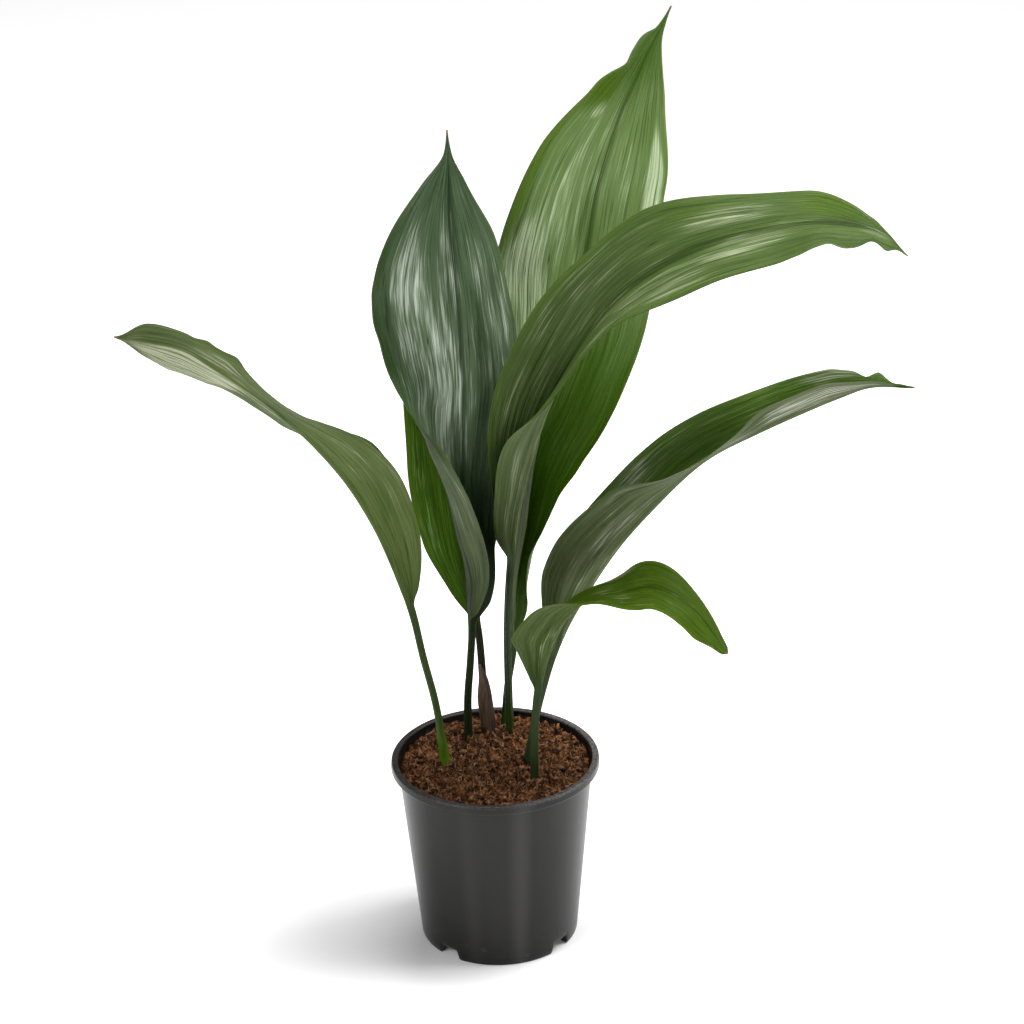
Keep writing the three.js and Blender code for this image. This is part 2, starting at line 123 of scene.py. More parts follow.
# Leaves, in millimetres: a spine from the foot in the soil to the tip, whose point number "neck" ends
# the stalk. A form row is: place, then for the left half and the right half (walking up the leaf) the
# width and the lean in degrees at the midrib and at the edge. A lean of 0 lies in the plane that faces
# the front, 90 points to the front and -90 to the back. Place -1 is the foot, 0 the neck, 1 the tip.
# "ripple" gives the height, number and start of even waves in a blade that has them. "flutter" lists
# single waves of a margin: the side (-1 left, 1 right), place, length along the leaf and reach outward.
LEAVES = {
    "leaf_left": {
        "spine": [(-34, 4, 116), (-41, 2, 181), (-49, 0, 222), (-56, -2, 262), (-65, -4, 293), (-76, -6, 324),
                  (-96, -10, 364), (-124, -15, 402), (-153, -18, 431), (-177, -19, 450), (-200, -20, 466),
                  (-221, -20, 472), (-244, -20, 476)],
        "neck": 3,
        "form": [
            (-1, 5, -150, -125, 5, 186, 211),
            (-0.6, 2.8, -160, -160, 2.8, 200, 200),
            (0, 2.8, -180, -180, 2.8, 235, 235),
            (0.05, 11, -190, -192, 11, 285, 290),
            (0.12, 21, -193, -195, 20, 318, 322),
            (0.22, 31, -195, -200, 30, 324, 326),
            (0.36, 40, -200, -208, 34, 318, 318),
            (0.44, 41, -208, -216, 32, 275, 285),
            (0.5, 39.5, -218, -226, 29, 245, 248),
            (0.54, 38.5, -228, -233, 28, 237, 241),
            (0.58, 33.5, -236, -238, 27.5, 235, 239),
            (0.62, 27.5, -237, -240, 27, 233, 236),
            (0.66, 26, -236, -238, 25.5, 231, 233),
            (0.72, 24.5, -226, -228, 23.5, 226, 226),
            (0.76, 25.5, -219, -221, 24, 220, 218),
            (0.86, 22, -220, -222, 24, 208, 206),
            (0.93, 19, -217, -217, 16, 210, 206),
            (1, 0.8, -214, -214, 0.8, 205, 205),
        ],
        "ripple": (0, 4, 0),
        "flutter": [(-1, 0.905, 0.050, 3.8), (-1, 0.842, 0.010, -1.5), (-1, 0.820, 0.012, 2.4),
                    (-1, 0.745, 0.025, 3.0)],
    },
    "leaf_front": {
        "spine": [(-19, 39, 116), (-19, 38, 165), (-16, 36, 199), (-14, 34, 228), (-15, 32, 265),
                  (-18, 27, 344), (-16, 25, 413), (-18, 26, 478), (-21, 30, 533), (-20, 34, 580),
                  (-20, 35, 595)],
        "neck": 3,
        "form": [
            (-1, 3.4, 38, 38, 3.4, -2, -2),
            (0, 2.8, 48, 48, 2.8, -12, -12),
            (0.05, 15, 65, 165, 15, -10, -14),
            (0.1, 26, 68, 180, 19.5, -10, -18),
            (0.16, 35, 58, 190, 21, -12, -22),
            (0.22, 41, 42, 193, 24, -15, -25),
            (0.31, 44, 24, 180, 29.5, -20, -25),
            (0.36, 50, 6, 173, 34, -20, -25),
            (0.42, 57, -16, 160, 38, -18, -25),
            (0.46, 56, -30, 128, 40, -8, -28),
            (0.5, 50.5, -36, 78, 42.5, 0, -30),
            (0.6, 53.5, -5, 5, 45, -15, -40),
            (0.66, 57, 4, 1, 42, -15, -40),
            (0.7, 56.5, 5, 0, 40, -15, -40),
            (0.75, 52, 5, 0, 36.5, -13, -36),
            (0.8, 43.5, 5, 0, 31.5, -10, -30),
            (0.9, 17.5, 5, 0, 13, -10, -20),
            (0.96, 2.4, 0, 0, 2.4, 0, 0),
            (1, 0.6, 0, 0, 0.6, 0, 0),
        ],
    },
    "leaf_rear_left": {
        "spine": [(-5, 52, 116), (-7, 54, 165), (-10, 58, 216), (-16, 60, 243), (-23, 64, 313),
                  (-24, 67, 358), (-25, 70, 403), (-25, 73, 454), (-25, 75, 497)],
        "neck": 2,
        "form": [
            (-1, 3.4, 18, 18, 3.4, 18, 18),
            (0, 2.8, 18, 18, 2.8, 18, 18),
            (0.12, 14, 10, 10, 14, 10, 10),
            (0.25, 27, 10, 0, 27, 10, 0),
            (0.45, 33, 5, -10, 33, 5, -10),
            (0.6, 33, 5, -5, 33, 5, -5),
            (0.8, 22, 0, 0, 22, 0, 0),
            (1, 0.8, 0, 0, 0.8, 0, 0),
        ],
    },
    "leaf_arching": {
        "spine": [(12, 45, 116), (11, 44, 169), (11, 42, 227), (14, 38, 273), (23, 31, 330), (41, 20, 396),
                  (60, 12, 437), (91, 4, 484), (132, -4, 515), (180, -12, 533), (226, -18, 540),
                  (261, -22, 534), (280, -24, 518)],
        "neck": 3,
        "form": [
            (-1, 3.6, -32, -32, 3.6, 68, 68),
            (0, 2.8, -59, -59, 2.8, 95, 95),
            (0.06, 11, -8, 5, 15, 128, 175),
            (0.15, 23, 8, 18, 26, 120, 165),
            (0.25, 36, 12, 10, 38, 118, 136),
            (0.35, 41, 8, 0, 42, 106, 102),
            (0.42, 41, -10, -22, 42, 100, 99),
            (0.5, 42, -28, -48, 41, 90, 88),
            (0.6, 47, -42, -58, 41, 81, 76),
            (0.7, 40, -55, -65, 41, 77, 71),
            (0.78, 34, -59, -65, 37, 75, 63),
            (0.82, 30.5, -60, -65, 33, 78, 67),
            (0.85, 28, -60, -65, 29, 83, 73),
            (0.9, 17.5, -60, -62, 24, 78, 63),
            (0.95, 4.5, -60, -60, 15.5, 78, 66),
            (1, 0.6, -60, -60, 0.6, 80, 80),
        ],
        "ripple": (2.5, 4, 0.2),
        "flutter": [(1, 0.868, 0.014, -3.8), (1, 0.933, 0.014, -5.5), (1, 0.962, 0.010, 4.0),
                    (-1, 0.850, 0.060, 2.5), (-1, 0.935, 0.010, 1.5)],
    },
    "leaf_tall": {
        "spine": [(6, 55, 116), (10, 60, 161), (16, 62, 201), (14, 64, 247), (17, 66, 282), (29, 71, 351),
                  (42, 73, 384), (63, 76, 454), (71, 77, 493), (80, 78, 540), (94, 79, 583), (111, 80, 622),
                  (126, 80, 651), (132, 80, 663)],
        "neck": 2,
        "form": [
            (-1, 5, 30, 5, 5, 6, -18),
            (-0.6, 2.8, 43, 43, 2.8, -7, -7),
            (0, 2.8, 53, 53, 2.8, -17, -17),
            (0.05, 9, 104, 106, 12, -10, 45),
            (0.1, 15, 108, 109, 22, -5, 108),
            (0.15, 19.5, 107, 109, 30, -5, 128),
            (0.2, 24.5, 105, 109, 32, -3, 95),
            (0.25, 29.5, 101, 104, 33, 0, 60),
            (0.3, 33, 97, 100, 40, 0, 29),
            (0.36, 38, 88, 92, 45, 4, 12),
            (0.42, 43, 52, 36, 50, 6, 1),
            (0.52, 53, 15, 10, 54, 5, -5),
            (0.6, 59, 5, 0, 52, 5, -5),
            (0.75, 45.5, 5, 0, 47.5, 5, -10),
            (0.87, 19.5, 5, 0, 26.5, 0, -10),
            (0.91, 11, 3, 0, 16, 0, -5),
            (0.93, 9, 1, 0, 10.5, 0, -2),
            (0.95, 6.2, 0, 0, 5.4, 0, 0),
            (0.965, 2.4, 0, 0, 3, 0, 0),
            (1, 0.6, 0, 0, 0.6, 0, 0),
        ],
        "flutter": [(-1, 0.944, 0.014, 1.4), (-1, 0.900, 0.012, -2.5), (-1, 0.865, 0.015, 1.5)],
    },
    "leaf_side": {
        "spine": [(22, -2, 116), (28, 0, 164), (35, 4, 193), (43, 6, 219), (54, 8, 243), (84, 8, 293),
                  (107, 7, 322), (149, 3, 365), (185, 0, 386), (211, -2, 399), (240, -4, 412), (261, -5, 419),
                  (291, -6, 418)],
        "neck": 3,
        "form": [
            (-1, 6.5, -10, -35, 6.5, 40, 15),
            (-0.6, 3, -42, -42, 3, 78, 78),
            (0, 2.8, -72, -72, 2.8, 108, 108),
            (0.05, 10, -50, -30, 14, 135, 150),
            (0.1, 18, -45, -15, 27, 145, 175),
            (0.17, 28, -42, -12, 39, 147, 182),
            (0.25, 33, -40, -10, 43, 148, 180),
            (0.38, 33, -28, -10, 41, 142, 164),
            (0.49, 32, -18, -20, 34, 122, 120),
            (0.56, 30, -15, -25, 31, 118, 116),
            (0.63, 28.5, -20, -30, 28, 121, 122),
            (0.72, 27, -30, -40, 25, 138, 146),
            (0.82, 22, -30, -40, 23, 146, 150),
            (0.91, 11, -30, -40, 13, 128, 131),
            (1, 0.8, -30, -40, 0.8, 120, 120),
        ],
        "ripple": (2, 4, 0.5),
        "flutter": [(-1, 0.850, 0.020, 1.0), (-1, 0.905, 0.012, -4.0), (-1, 0.930, 0.008, 1.8),
                    (-1, 0.955, 0.012, -2.0), (1, 0.970, 0.012, -4.0)],
    },
    "leaf_low": {
        "spine": [(28, -22, 116), (28, -22, 164), (31, -24, 205), (37, -26, 231), (45, -28, 253),
                  (54, -30, 269), (68, -33, 280), (89, -38, 287), (112, -45, 293), (137, -52, 280),
                  (161, -58, 247)],
        "neck": 2,
        "form": [
            (-1, 3.6, -115, -115, 3.6, 151, 151),
            (0, 2.8, -115, -115, 2.8, 151, 151),
            (0.05, 8, -106, -106, 8, 158, 158),
            (0.1, 12, -104, -104, 15, 162, 162),
            (0.15, 15, -102, -102, 23, 163, 165),
            (0.2, 18, -100, -100, 31, 159, 163),
            (0.3, 21, -98, -98, 32, 147, 150),
            (0.38, 21, -96, -96, 27, 125, 125),
            (0.45, 22, -91, -93, 14, 92, 92),
            (0.65, 21.5, -65, -65, 21.5, 70, 70),
            (0.85, 12, -66, -66, 20, 62, 58),
            (0.94, 7, -66, -66, 10, 62, 58),
            (0.985, 4.2, -62, -62, 5, 61, 58),
            (1, 0.8, -50, -50, 0.8, 60, 60),
        ],
        "ripple": (1.5, 3, 0),
    },
}

DRY_SHEATH = {
    "spine": [(-4, 45.5, 116), (-4, 46, 140), (-6, 48, 160), (-7, 50, 176), (-9, 52, 188)],
    "neck": 2,
    "form": [
        (-1, 6.5, 10, -45, 6.5, 0, -60),
        (0, 6, 10, -35, 6, 0, -50),
        (0.6, 3.5, 5, -25, 3.5, 5, -30),
        (1, 0.8, 0, 0, 0.8, 0, 0),
    ],
}

# Thickness along a leaf: place, thickness of the skin, depth of the keel under the midrib
THICKNESS = [(-1, 2.6, 2.2), (0, 2.2, 2.4), (0.12, 0.9, 2), (0.5, 0.8, 1.2), (1, 0.8, 0.3)]
SHEATH_THICKNESS = [(-1, 0.8, 0), (1, 0.8, 0)]
SHEATH_RIBS = 5
SHEATH_RIB_HEIGHT = 0.25

# In millimetres: the strip beside the midrib where the halves blend, and the channel over the midrib
RIB_STRIP = 2.8
CHANNEL_WIDTH = 1.6
CHANNEL_DEPTH = 0.5

# In millimetres: the half width of the blade from which its channel and its ribs have their full depth
CHANNEL_BLADE = 12
RIB_BLADE = 20

# How fast even waves grow toward the margin, and how far the left half's waves run ahead
NO_RIPPLE = (0, 1, 0)
RIPPLE_POWER = 2.5
LEFT_RIPPLE_SHIFT = 0.37

# Shares of a leaf's length: the reach of the slope along its spine, and the stretch that closes each end
TANGENT_REACH = 0.012
END_SHARE = 0.0025
SPLINE_STEPS = 100
GRID_EDGE = 0.9999
MERGE_DISTANCE = 1e-6

# The look of each leaf: the dark and light greens of the upper face and of the lower face, the colour
# of its painted highlights, how much painted sheen it takes all over, the colour of the painted glow of
# light through its margin and how strongly, and the stalk's colours at the top and at the foot. "deep"
# is the colour of painted shade, where it isn't a darker upper green.
# A patch is where the painted sheen, the coat's gloss with its painted highlight, the painted shade or
# the painted glow gathers: across, place, reach across, reach along, strength. Across runs from -1 at
# the left edge over the midrib to 1 at the right edge.
LEAF_LOOKS = {
    "leaf_left": {
        "upper": ((0.042, 0.082, 0.004), (0.100, 0.152, 0.022)),
        "under": ((0.036, 0.070, 0.008), (0.095, 0.130, 0.035)),
        "highlight_colour": (0.42, 0.44, 0.30),
        "sheen": 0.45,
        "glow": (0.06, 0.12, 0.006),
        "margin": 0.2,
        "stalk": ((0.052, 0.085, 0.022), (0.200, 0.430, 0.006)),
        "gloss_and_highlight": [(0.50, 0.83, 0.7, 0.20, 1.5), (-0.4, 0.77, 0.35, 0.08, 0.5), (-0.2, 0.96, 0.5, 0.03, 0.4),
                  (0.1, 0.62, 0.5, 0.16, 0.4), (-0.62, 0.26, 0.16, 0.30, 0.2), (0.0, 0.15, 1.2, 0.30, -0.45)],
        "shade": [(-0.5, 0.93, 0.7, 0.12, 0.3), (-0.2, 0.60, 0.6, 0.10, 0.4)],
    },
    "leaf_front": {
        "upper": ((0.013, 0.042, 0.007), (0.046, 0.098, 0.032)),
        "under": ((0.022, 0.036, 0.006), (0.075, 0.098, 0.038)),
        "highlight_colour": (0.53, 0.61, 0.50),
        "sheen": 0.65,
        "glow": (0.05, 0.10, 0.003),
        "margin": 0.35,
        "deep": (0.005, 0.016, 0.0015),
        "stalk": ((0.022, 0.034, 0.010), (0.034, 0.040, 0.018)),
        "gloss_and_highlight": [(-0.52, 0.62, 0.30, 0.26, 0.6), (-0.26, 0.40, 0.16, 0.26, 0.6),
                  (-0.62, 0.74, 0.3, 0.10, 0.5), (0.62, 0.62, 0.45, 0.32, 0.35),
                  (-0.08, 0.58, 0.36, 0.30, 0.55), (-0.98, 0.60, 0.14, 0.3, -0.5),
                  (0.20, 0.04, 1.3, 0.34, -1.8)],
        "shade": [(0.25, 0.08, 1.2, 0.34, 1.3), (-0.90, 0.62, 0.2, 0.35, 0.3), (0.10, 0.82, 0.14, 0.18, 0.5),
                  (0.36, 0.54, 0.15, 0.22, 0.6), (0.75, 0.68, 0.12, 0.06, 0.4)],
    },
    "leaf_rear_left": {
        "upper": ((0.024, 0.070, 0.0002), (0.056, 0.128, 0.0008)),
        "under": ((0.030, 0.055, 0.006), (0.080, 0.115, 0.024)),
        "highlight_colour": (0.15, 0.25, 0.05),
        "sheen": 0.0,
        "glow": (0.07, 0.14, 0.004),
        "margin": 0.4,
        "stalk": ((0.030, 0.030, 0.014), (0.040, 0.042, 0.018)),
        "gloss_and_highlight": [(-0.75, 0.33, 0.3, 0.22, 0.4), (-0.4, 0.20, 0.35, 0.2, 0.2)],
        "shade": [(0.0, 0.10, 0.5, 0.20, 0.4), (0.1, 0.5, 0.5, 0.2, 0.4)],
    },
    "leaf_arching": {
        "upper": ((0.030, 0.066, 0.008), (0.070, 0.120, 0.022)),
        "under": ((0.040, 0.068, 0.012), (0.100, 0.145, 0.044)),
        "highlight_colour": (0.34, 0.39, 0.23),
        "sheen": 0.52,
        "glow": (0.070, 0.130, 0.005),
        "margin": 0.25,
        "glow_spots": [(-0.60, 0.87, 0.5, 0.06, 0.7), (-0.7, 0.68, 0.3, 0.08, 0.3)],
        "stalk": ((0.024, 0.050, 0.010), (0.055, 0.110, 0.012)),
        "gloss_and_highlight": [(-0.5, 0.72, 0.3, 0.10, 0.7), (0.25, 0.74, 0.35, 0.10, 0.6), (0.5, 0.58, 0.5, 0.2, 0.5),
                  (-0.5, 0.42, 0.5, 0.25, 0.3), (0.55, 0.16, 0.2, 0.14, 0.5), (0.1, 0.94, 0.4, 0.04, 0.8),
                  (-0.65, 0.88, 0.4, 0.05, -0.5)],
        "shade": [(-0.5, 0.17, 0.6, 0.12, 0.9), (-0.1, 0.9, 0.3, 0.06, 0.3)],
    },
    "leaf_tall": {
        "upper": ((0.060, 0.128, 0.006), (0.148, 0.270, 0.060)),
        "under": ((0.040, 0.066, 0.010), (0.120, 0.160, 0.060)),
        "highlight_colour": (0.62, 0.76, 0.46),
        "sheen": 0.80,
        "glow": (0.078, 0.158, 0.003),
        "margin": 0.7,
        "glow_spots": [(-0.7, 0.86, 0.45, 0.05, 1.2), (-0.8, 0.50, 0.2, 0.05, 0.7),
                  (-0.95, 0.70, 0.14, 0.17, 1.0)],
        "deep": (0.040, 0.098, 0.0002),
        "stalk": ((0.026, 0.056, 0.010), (0.085, 0.190, 0.008)),
        "gloss_and_highlight": [(-0.7, 0.54, 0.45, 0.17, 1.5), (-0.92, 0.54, 0.14, 0.08, 0.7),
                  (-0.35, 0.72, 0.4, 0.14, 0.5), (0.25, 0.74, 0.3, 0.10, 0.2),
                  (0.80, 0.74, 0.17, 0.11, 2.0), (-0.5, 0.83, 0.14, 0.02, 0.8),
                  (0.5, 0.22, 1.6, 0.34, -2.2), (0.0, 0.94, 1.2, 0.08, -0.8)],
        "shade": [(0.2, 0.20, 0.3, 0.22, 0.9), (0.7, 0.34, 0.9, 0.24, 1.0), (-0.1, 0.92, 1.0, 0.10, 0.45)],
    },
    "leaf_side": {
        "upper": ((0.028, 0.078, 0.0008), (0.078, 0.155, 0.008)),
        "under": ((0.026, 0.050, 0.005), (0.105, 0.130, 0.054)),
        "highlight_colour": (0.48, 0.50, 0.40),
        "sheen": 0.44,
        "glow": (0.05, 0.10, 0.004),
        "margin": 0.3,
        "glow_spots": [(-0.3, 0.55, 0.5, 0.20, 0.5), (-0.5, 0.75, 0.3, 0.08, 0.4)],
        "stalk": ((0.050, 0.082, 0.030), (0.030, 0.056, 0.022)),
        "gloss_and_highlight": [(-0.7, 0.40, 0.4, 0.10, 0.6), (-0.85, 0.84, 0.3, 0.08, 0.6), (0.30, 0.32, 0.22, 0.12, 0.5),
                  (0.5, 0.80, 0.5, 0.16, 0.9)],
        "shade": [(-0.4, 0.56, 0.35, 0.14, 0.2), (0.9, 0.3, 0.25, 0.3, 0.4), (0.5, 0.08, 0.6, 0.08, 0.4)],
    },
    "leaf_low": {
        "upper": ((0.046, 0.098, 0.003), (0.084, 0.148, 0.009)),
        "under": ((0.034, 0.060, 0.008), (0.090, 0.125, 0.042)),
        "highlight_colour": (0.34, 0.39, 0.20),
        "sheen": -0.1,
        "glow": (0.11, 0.20, 0.004),
        "margin": 0.5,
        "stalk": ((0.050, 0.080, 0.030), (0.036, 0.066, 0.020)),
        "gloss_and_highlight": [(-0.3, 0.47, 0.35, 0.06, 0.5), (0.45, 0.54, 0.35, 0.07, 0.5), (-0.85, 0.52, 0.2, 0.10, 0.8),
                  (0.15, 0.20, 0.12, 0.14, 0.4)],
        "shade": [(0.5, 0.02, 1.2, 0.12, 0.4)],
    },
}

# Colours that all leaves share, and how much of each leaf's highlight colour its even painted sheen takes
SHEEN_SHARE = (0.56, 0.60, 0.49)
PALE_RIB = (0.12, 0.15, 0.06)
PALE_EDGE = (0.20, 0.24, 0.10)
DRY_TIP = (0.20, 0.15, 0.07)
DARKENED = 0.3

# How much light the soil, its fibres and its crumbs throw back as shine
EARTH_SHINE = 0.15

# Soft lights: name, place and size in metres, power in watts
LIGHTS = (
    ("key", (1.03, 0.18, 1.55), (1.1, 1.1), 36),
    ("left_box", (-1.3, -1.0, 1.2), (0.9, 1.2), 16),
    ("top", (0.1, 0.42, 2.1), (0.9, 0.9), 24),
)
LIGHT_AIM = (0, 0, 0.3)
WORLD_LIGHT = 0.10
SENSOR_WIDTH = 36
FLOOR_REACH = 8


class PotSettings(bpy.types.PropertyGroup):
    """Sizes and colour of the pot"""
    sides: IntProperty(name="Sides", description="Steps round the pot", default=360, min=60, max=720)
    color: FloatVectorProperty(name="Colour", description="Plastic of the pot", subtype="COLOR", size=3,
                               min=0, max=1, default=(0.0062, 0.0055, 0.0050))


class SoilSettings(bpy.types.PropertyGroup):
    """Look of the soil"""
    fibres: IntProperty(name="Fibres", description="Loose coir fibres on the soil", default=1300,
                        min=0, max=2000)
    crumbs: IntProperty(name="Crumbs", description="Crumbs and chips on the soil", default=1500,
                        min=0, max=4000)
    seed: IntProperty(name="Seed", description="Start of the random draw", default=5, min=0)


class LeafSettings(bpy.types.PropertyGroup):
    """Detail of the leaves"""
    across: IntProperty(name="Columns", description="Mesh columns across a leaf", default=96, min=16, max=160)
    along: IntProperty(name="Rows", description="Mesh rows along a leaf", default=220, min=40, max=400)
    ribs: IntProperty(name="Ribs", description="Raised ribs in each half of a blade", default=8,
                      min=1, max=20)
    rib_height: FloatProperty(name="Rib height", description="Height of the raised ribs in millimetres",
                              default=0.30, min=0, max=1)


class StageSettings(bpy.types.PropertyGroup):
    """Camera and floor"""
    distance: FloatProperty(name="Camera distance", description="From the middle of the rim to the camera",
                            default=2.0, min=0.5, unit="LENGTH")
    rise: FloatProperty(name="Camera rise", description="How far the camera stands above the rim",
                        default=radians(29.12), subtype="ANGLE")
    pitch: FloatProperty(name="Camera pitch", description="How far the camera looks down",
                         default=radians(24.12), subtype="ANGLE")
    yaw: FloatProperty(name="Camera yaw", description="How far the camera turns to the right",
                       default=radians(0.54), subtype="ANGLE")
    roll: FloatProperty(name="Camera roll", description="How far the picture leans",
                        default=radians(-1.43), subtype="ANGLE")
    lens: FloatProperty(name="Lens", description="Focal length in millimetres", default=97.56, min=10)
    floor: FloatVectorProperty(name="Floor", description="Colour of the floor", subtype="COLOR", size=3,
                               min=0, max=1, default=(0.9, 0.9, 0.9))


class Wire:
    """A number socket for use in expressions; each operation adds a Math node."""

    def __init__(self, finish, socket):
        self.finish = finish
        self.socket = socket

    def math(self, operation, *values):
        node = self.finish.node("ShaderNodeMath", {"operation": operation}, dict(enumerate(values)))
        return Wire(self.finish, node.outputs[0])

    def __add__(self, other):
        return self.math("ADD", self, other)

    def __sub__(self, other):
        return self.math("SUBTRACT", self, other)

    def __rsub__(self, other):
        return self.math("SUBTRACT", other, self)

    def __mul__(self, other):
        return self.math("MULTIPLY", self, other)

    def __pow__(self, other):
        return self.math("POWER", self, other)

    __radd__ = __add__
    __rmul__ = __mul__

    def min(self, other):
        return self.math("MINIMUM", self, other)

    def absolute(self):
        return self.math("ABSOLUTE", self)

    def between(self, low, high):
        """0 below low, 1 above high, smooth between them."""
        inputs = {"Value": self, "From Min": low, "From Max": high}
        node = self.finish.node("ShaderNodeMapRange", {"interpolation_type": "SMOOTHSTEP"}, inputs)
        return Wire(self.finish, node.outputs["Result"])


class Finish:
    """A procedural material, built one node at a time."""

    def __init__(self, name):
        self.material = bpy.data.materials.new(name)
        self.material.use_nodes = True
        self.tree = self.material.node_tree
        self.tree.nodes.clear()
        self.output = self.node("ShaderNodeOutputMaterial")

    def node(self, kind, settings=None, inputs=None):
        """Adds a node, sets its settings first, then the values or links of its sockets."""
        node = self.tree.nodes.new(kind)
        for key, value in (settings or {}).items():
            if key == "stops":
                self.set_stops(node.color_ramp, value)
            else:
                setattr(node, key, value)
        for key, value in (inputs or {}).items():
            socket = node.inputs[key]
            source = value.socket if isinstance(value, Wire) else value
            if isinstance(source, bpy.types.NodeSocket):
                self.tree.links.new(source, socket)
            else:
                socket.default_value = source
        return node

    @staticmethod
    def set_stops(ramp, stops):
        while len(ramp.elements) < len(stops):
            ramp.elements.new(0.5)
        for element, (place, colour) in zip(ramp.elements, stops):
            element.position = place
            element.color = (*colour, 1)

    def objects(self):
        return self.node("ShaderNodeTexCoord").outputs["Object"]

    def blade(self):
        """Across, place and under (0 on the upper face, 1 on the lower), as the leaf meshes store them."""
        return self.split(self.node("ShaderNodeAttribute", {"attribute_name": "blade"}).outputs["Vector"])

    def split(self, vector):
        parts = self.node("ShaderNodeSeparateXYZ", None, {"Vector": vector})
        return [Wire(self, socket) for socket in parts.outputs]

    def vector(self, x, y, z):
        return self.node("ShaderNodeCombineXYZ", None, {"X": x, "Y": y, "Z": z}).outputs[0]

    def noise(self, vector, scale, detail=2.0, roughness=0.5):
        inputs = {"Vector": vector, "Scale": scale, "Detail": detail, "Roughness": roughness}
        return Wire(self, self.node("ShaderNodeTexNoise", None, inputs).outputs["Fac"])

    def cells(self, vector, smooth):
        """A random value for each cell of a cellular pattern, with soft borders between the cells."""
        settings = {"voronoi_dimensions": "2D", "feature": "SMOOTH_F1"}
        inputs = {"Vector": vector, "Scale": 1.0, "Smoothness": smooth}
        colour = self.node("ShaderNodeTexVoronoi", settings, inputs).outputs["Color"]
        return Wire(self, self.node("ShaderNodeSeparateColor", None, {"Color": colour}).outputs[0])

    def mix(self, factor, one, two):
        """One colour at factor 0, the other at factor 1."""
        inputs = {0: factor, 6: self.rgba(one), 7: self.rgba(two)}
        return self.node("ShaderNodeMix", {"data_type": "RGBA"}, inputs).outputs[2]

    @staticmethod
    def rgba(colour):
        return colour if isinstance(colour, bpy.types.NodeSocket) else (*colour, 1)

    def bump(self, height, strength, distance):
        inputs = {"Height": height, "Strength": strength, "Distance": distance}
        return self.node("ShaderNodeBump", None, inputs).outputs[0]

    def surface(self, **sockets):
        """Closes the material with a Principled shader; words in socket names are joined by underscores."""
        inputs = {key.replace("_", " "): value for key, value in sockets.items()}
        shader = self.node("ShaderNodeBsdfPrincipled", None, inputs)
        self.tree.links.new(shader.outputs[0], self.output.inputs["Surface"])
        return self.material


def scaled(colour, factor, lift=0.0):
    """A darker or lighter shade of a colour."""
    return tuple(c * factor + lift for c in colour)


def blend_rows(rows, place):
    """Values between rows of (place, value, value...) at an array of places, without overshoot."""
    table = np.array(rows, float)
    x, y = table[:, 0], table[:, 1:]
    steps = np.diff(y, axis=0) / np.diff(x)[:, None]
    before, after = steps[:-1], steps[1:]
    agree = before * after > 0
    slopes = np.zeros_like(y)
    slopes[1:-1] = np.where(agree, 2 * before * after / np.where(agree, before + after, 1), 0)
    place = np.clip(place, x[0], x[-1])
    i = np.clip(np.searchsorted(x, place, side="right") - 1, 0, len(x) - 2)
    span = (x[i + 1] - x[i])[:, None]
    u = ((place - x[i]) / span[:, 0])[:, None]
    start = (2 * u**3 - 3 * u**2 + 1) * y[i] + (u**3 - 2 * u**2 + u) * span * slopes[i]
    return start + (3 * u**2 - 2 * u**3) * y[i + 1] + (u**3 - u**2) * span * slopes[i + 1]


def between_knots(t, start, end, one, two):
    """From one at the start knot to two at the end knot."""
    return (end - t) / (end - start) * one + (t - start) / (end - start) * two


def smooth_line(points):
    """A smooth line through points, with SPLINE_STEPS samples between each two of them."""
    p = np.array(points, float)
    p = np.vstack([2 * p[0] - p[1], p, 2 * p[-1] - p[-2]])
    line = []
    for i in range(1, len(p) - 2):
        layer = list(p[i - 1:i + 3])
        knots = [0]
        for one, two in zip(layer, layer[1:]):
            knots.append(knots[-1] + np.linalg.norm(two - one) ** 0.5)
        t = np.linspace(knots[1], knots[2], SPLINE_STEPS, endpoint=False)[:, None]
        for spans, first in ((1, 0), (2, 0), (1, 1)):
            layer = [between_knots(t, knots[first + k], knots[first + k + spans], one, two)
                     for k, (one, two) in enumerate(zip(layer, layer[1:]))]
        line.extend(layer[0])
    line.append(p[-2])
    return np.array(line)


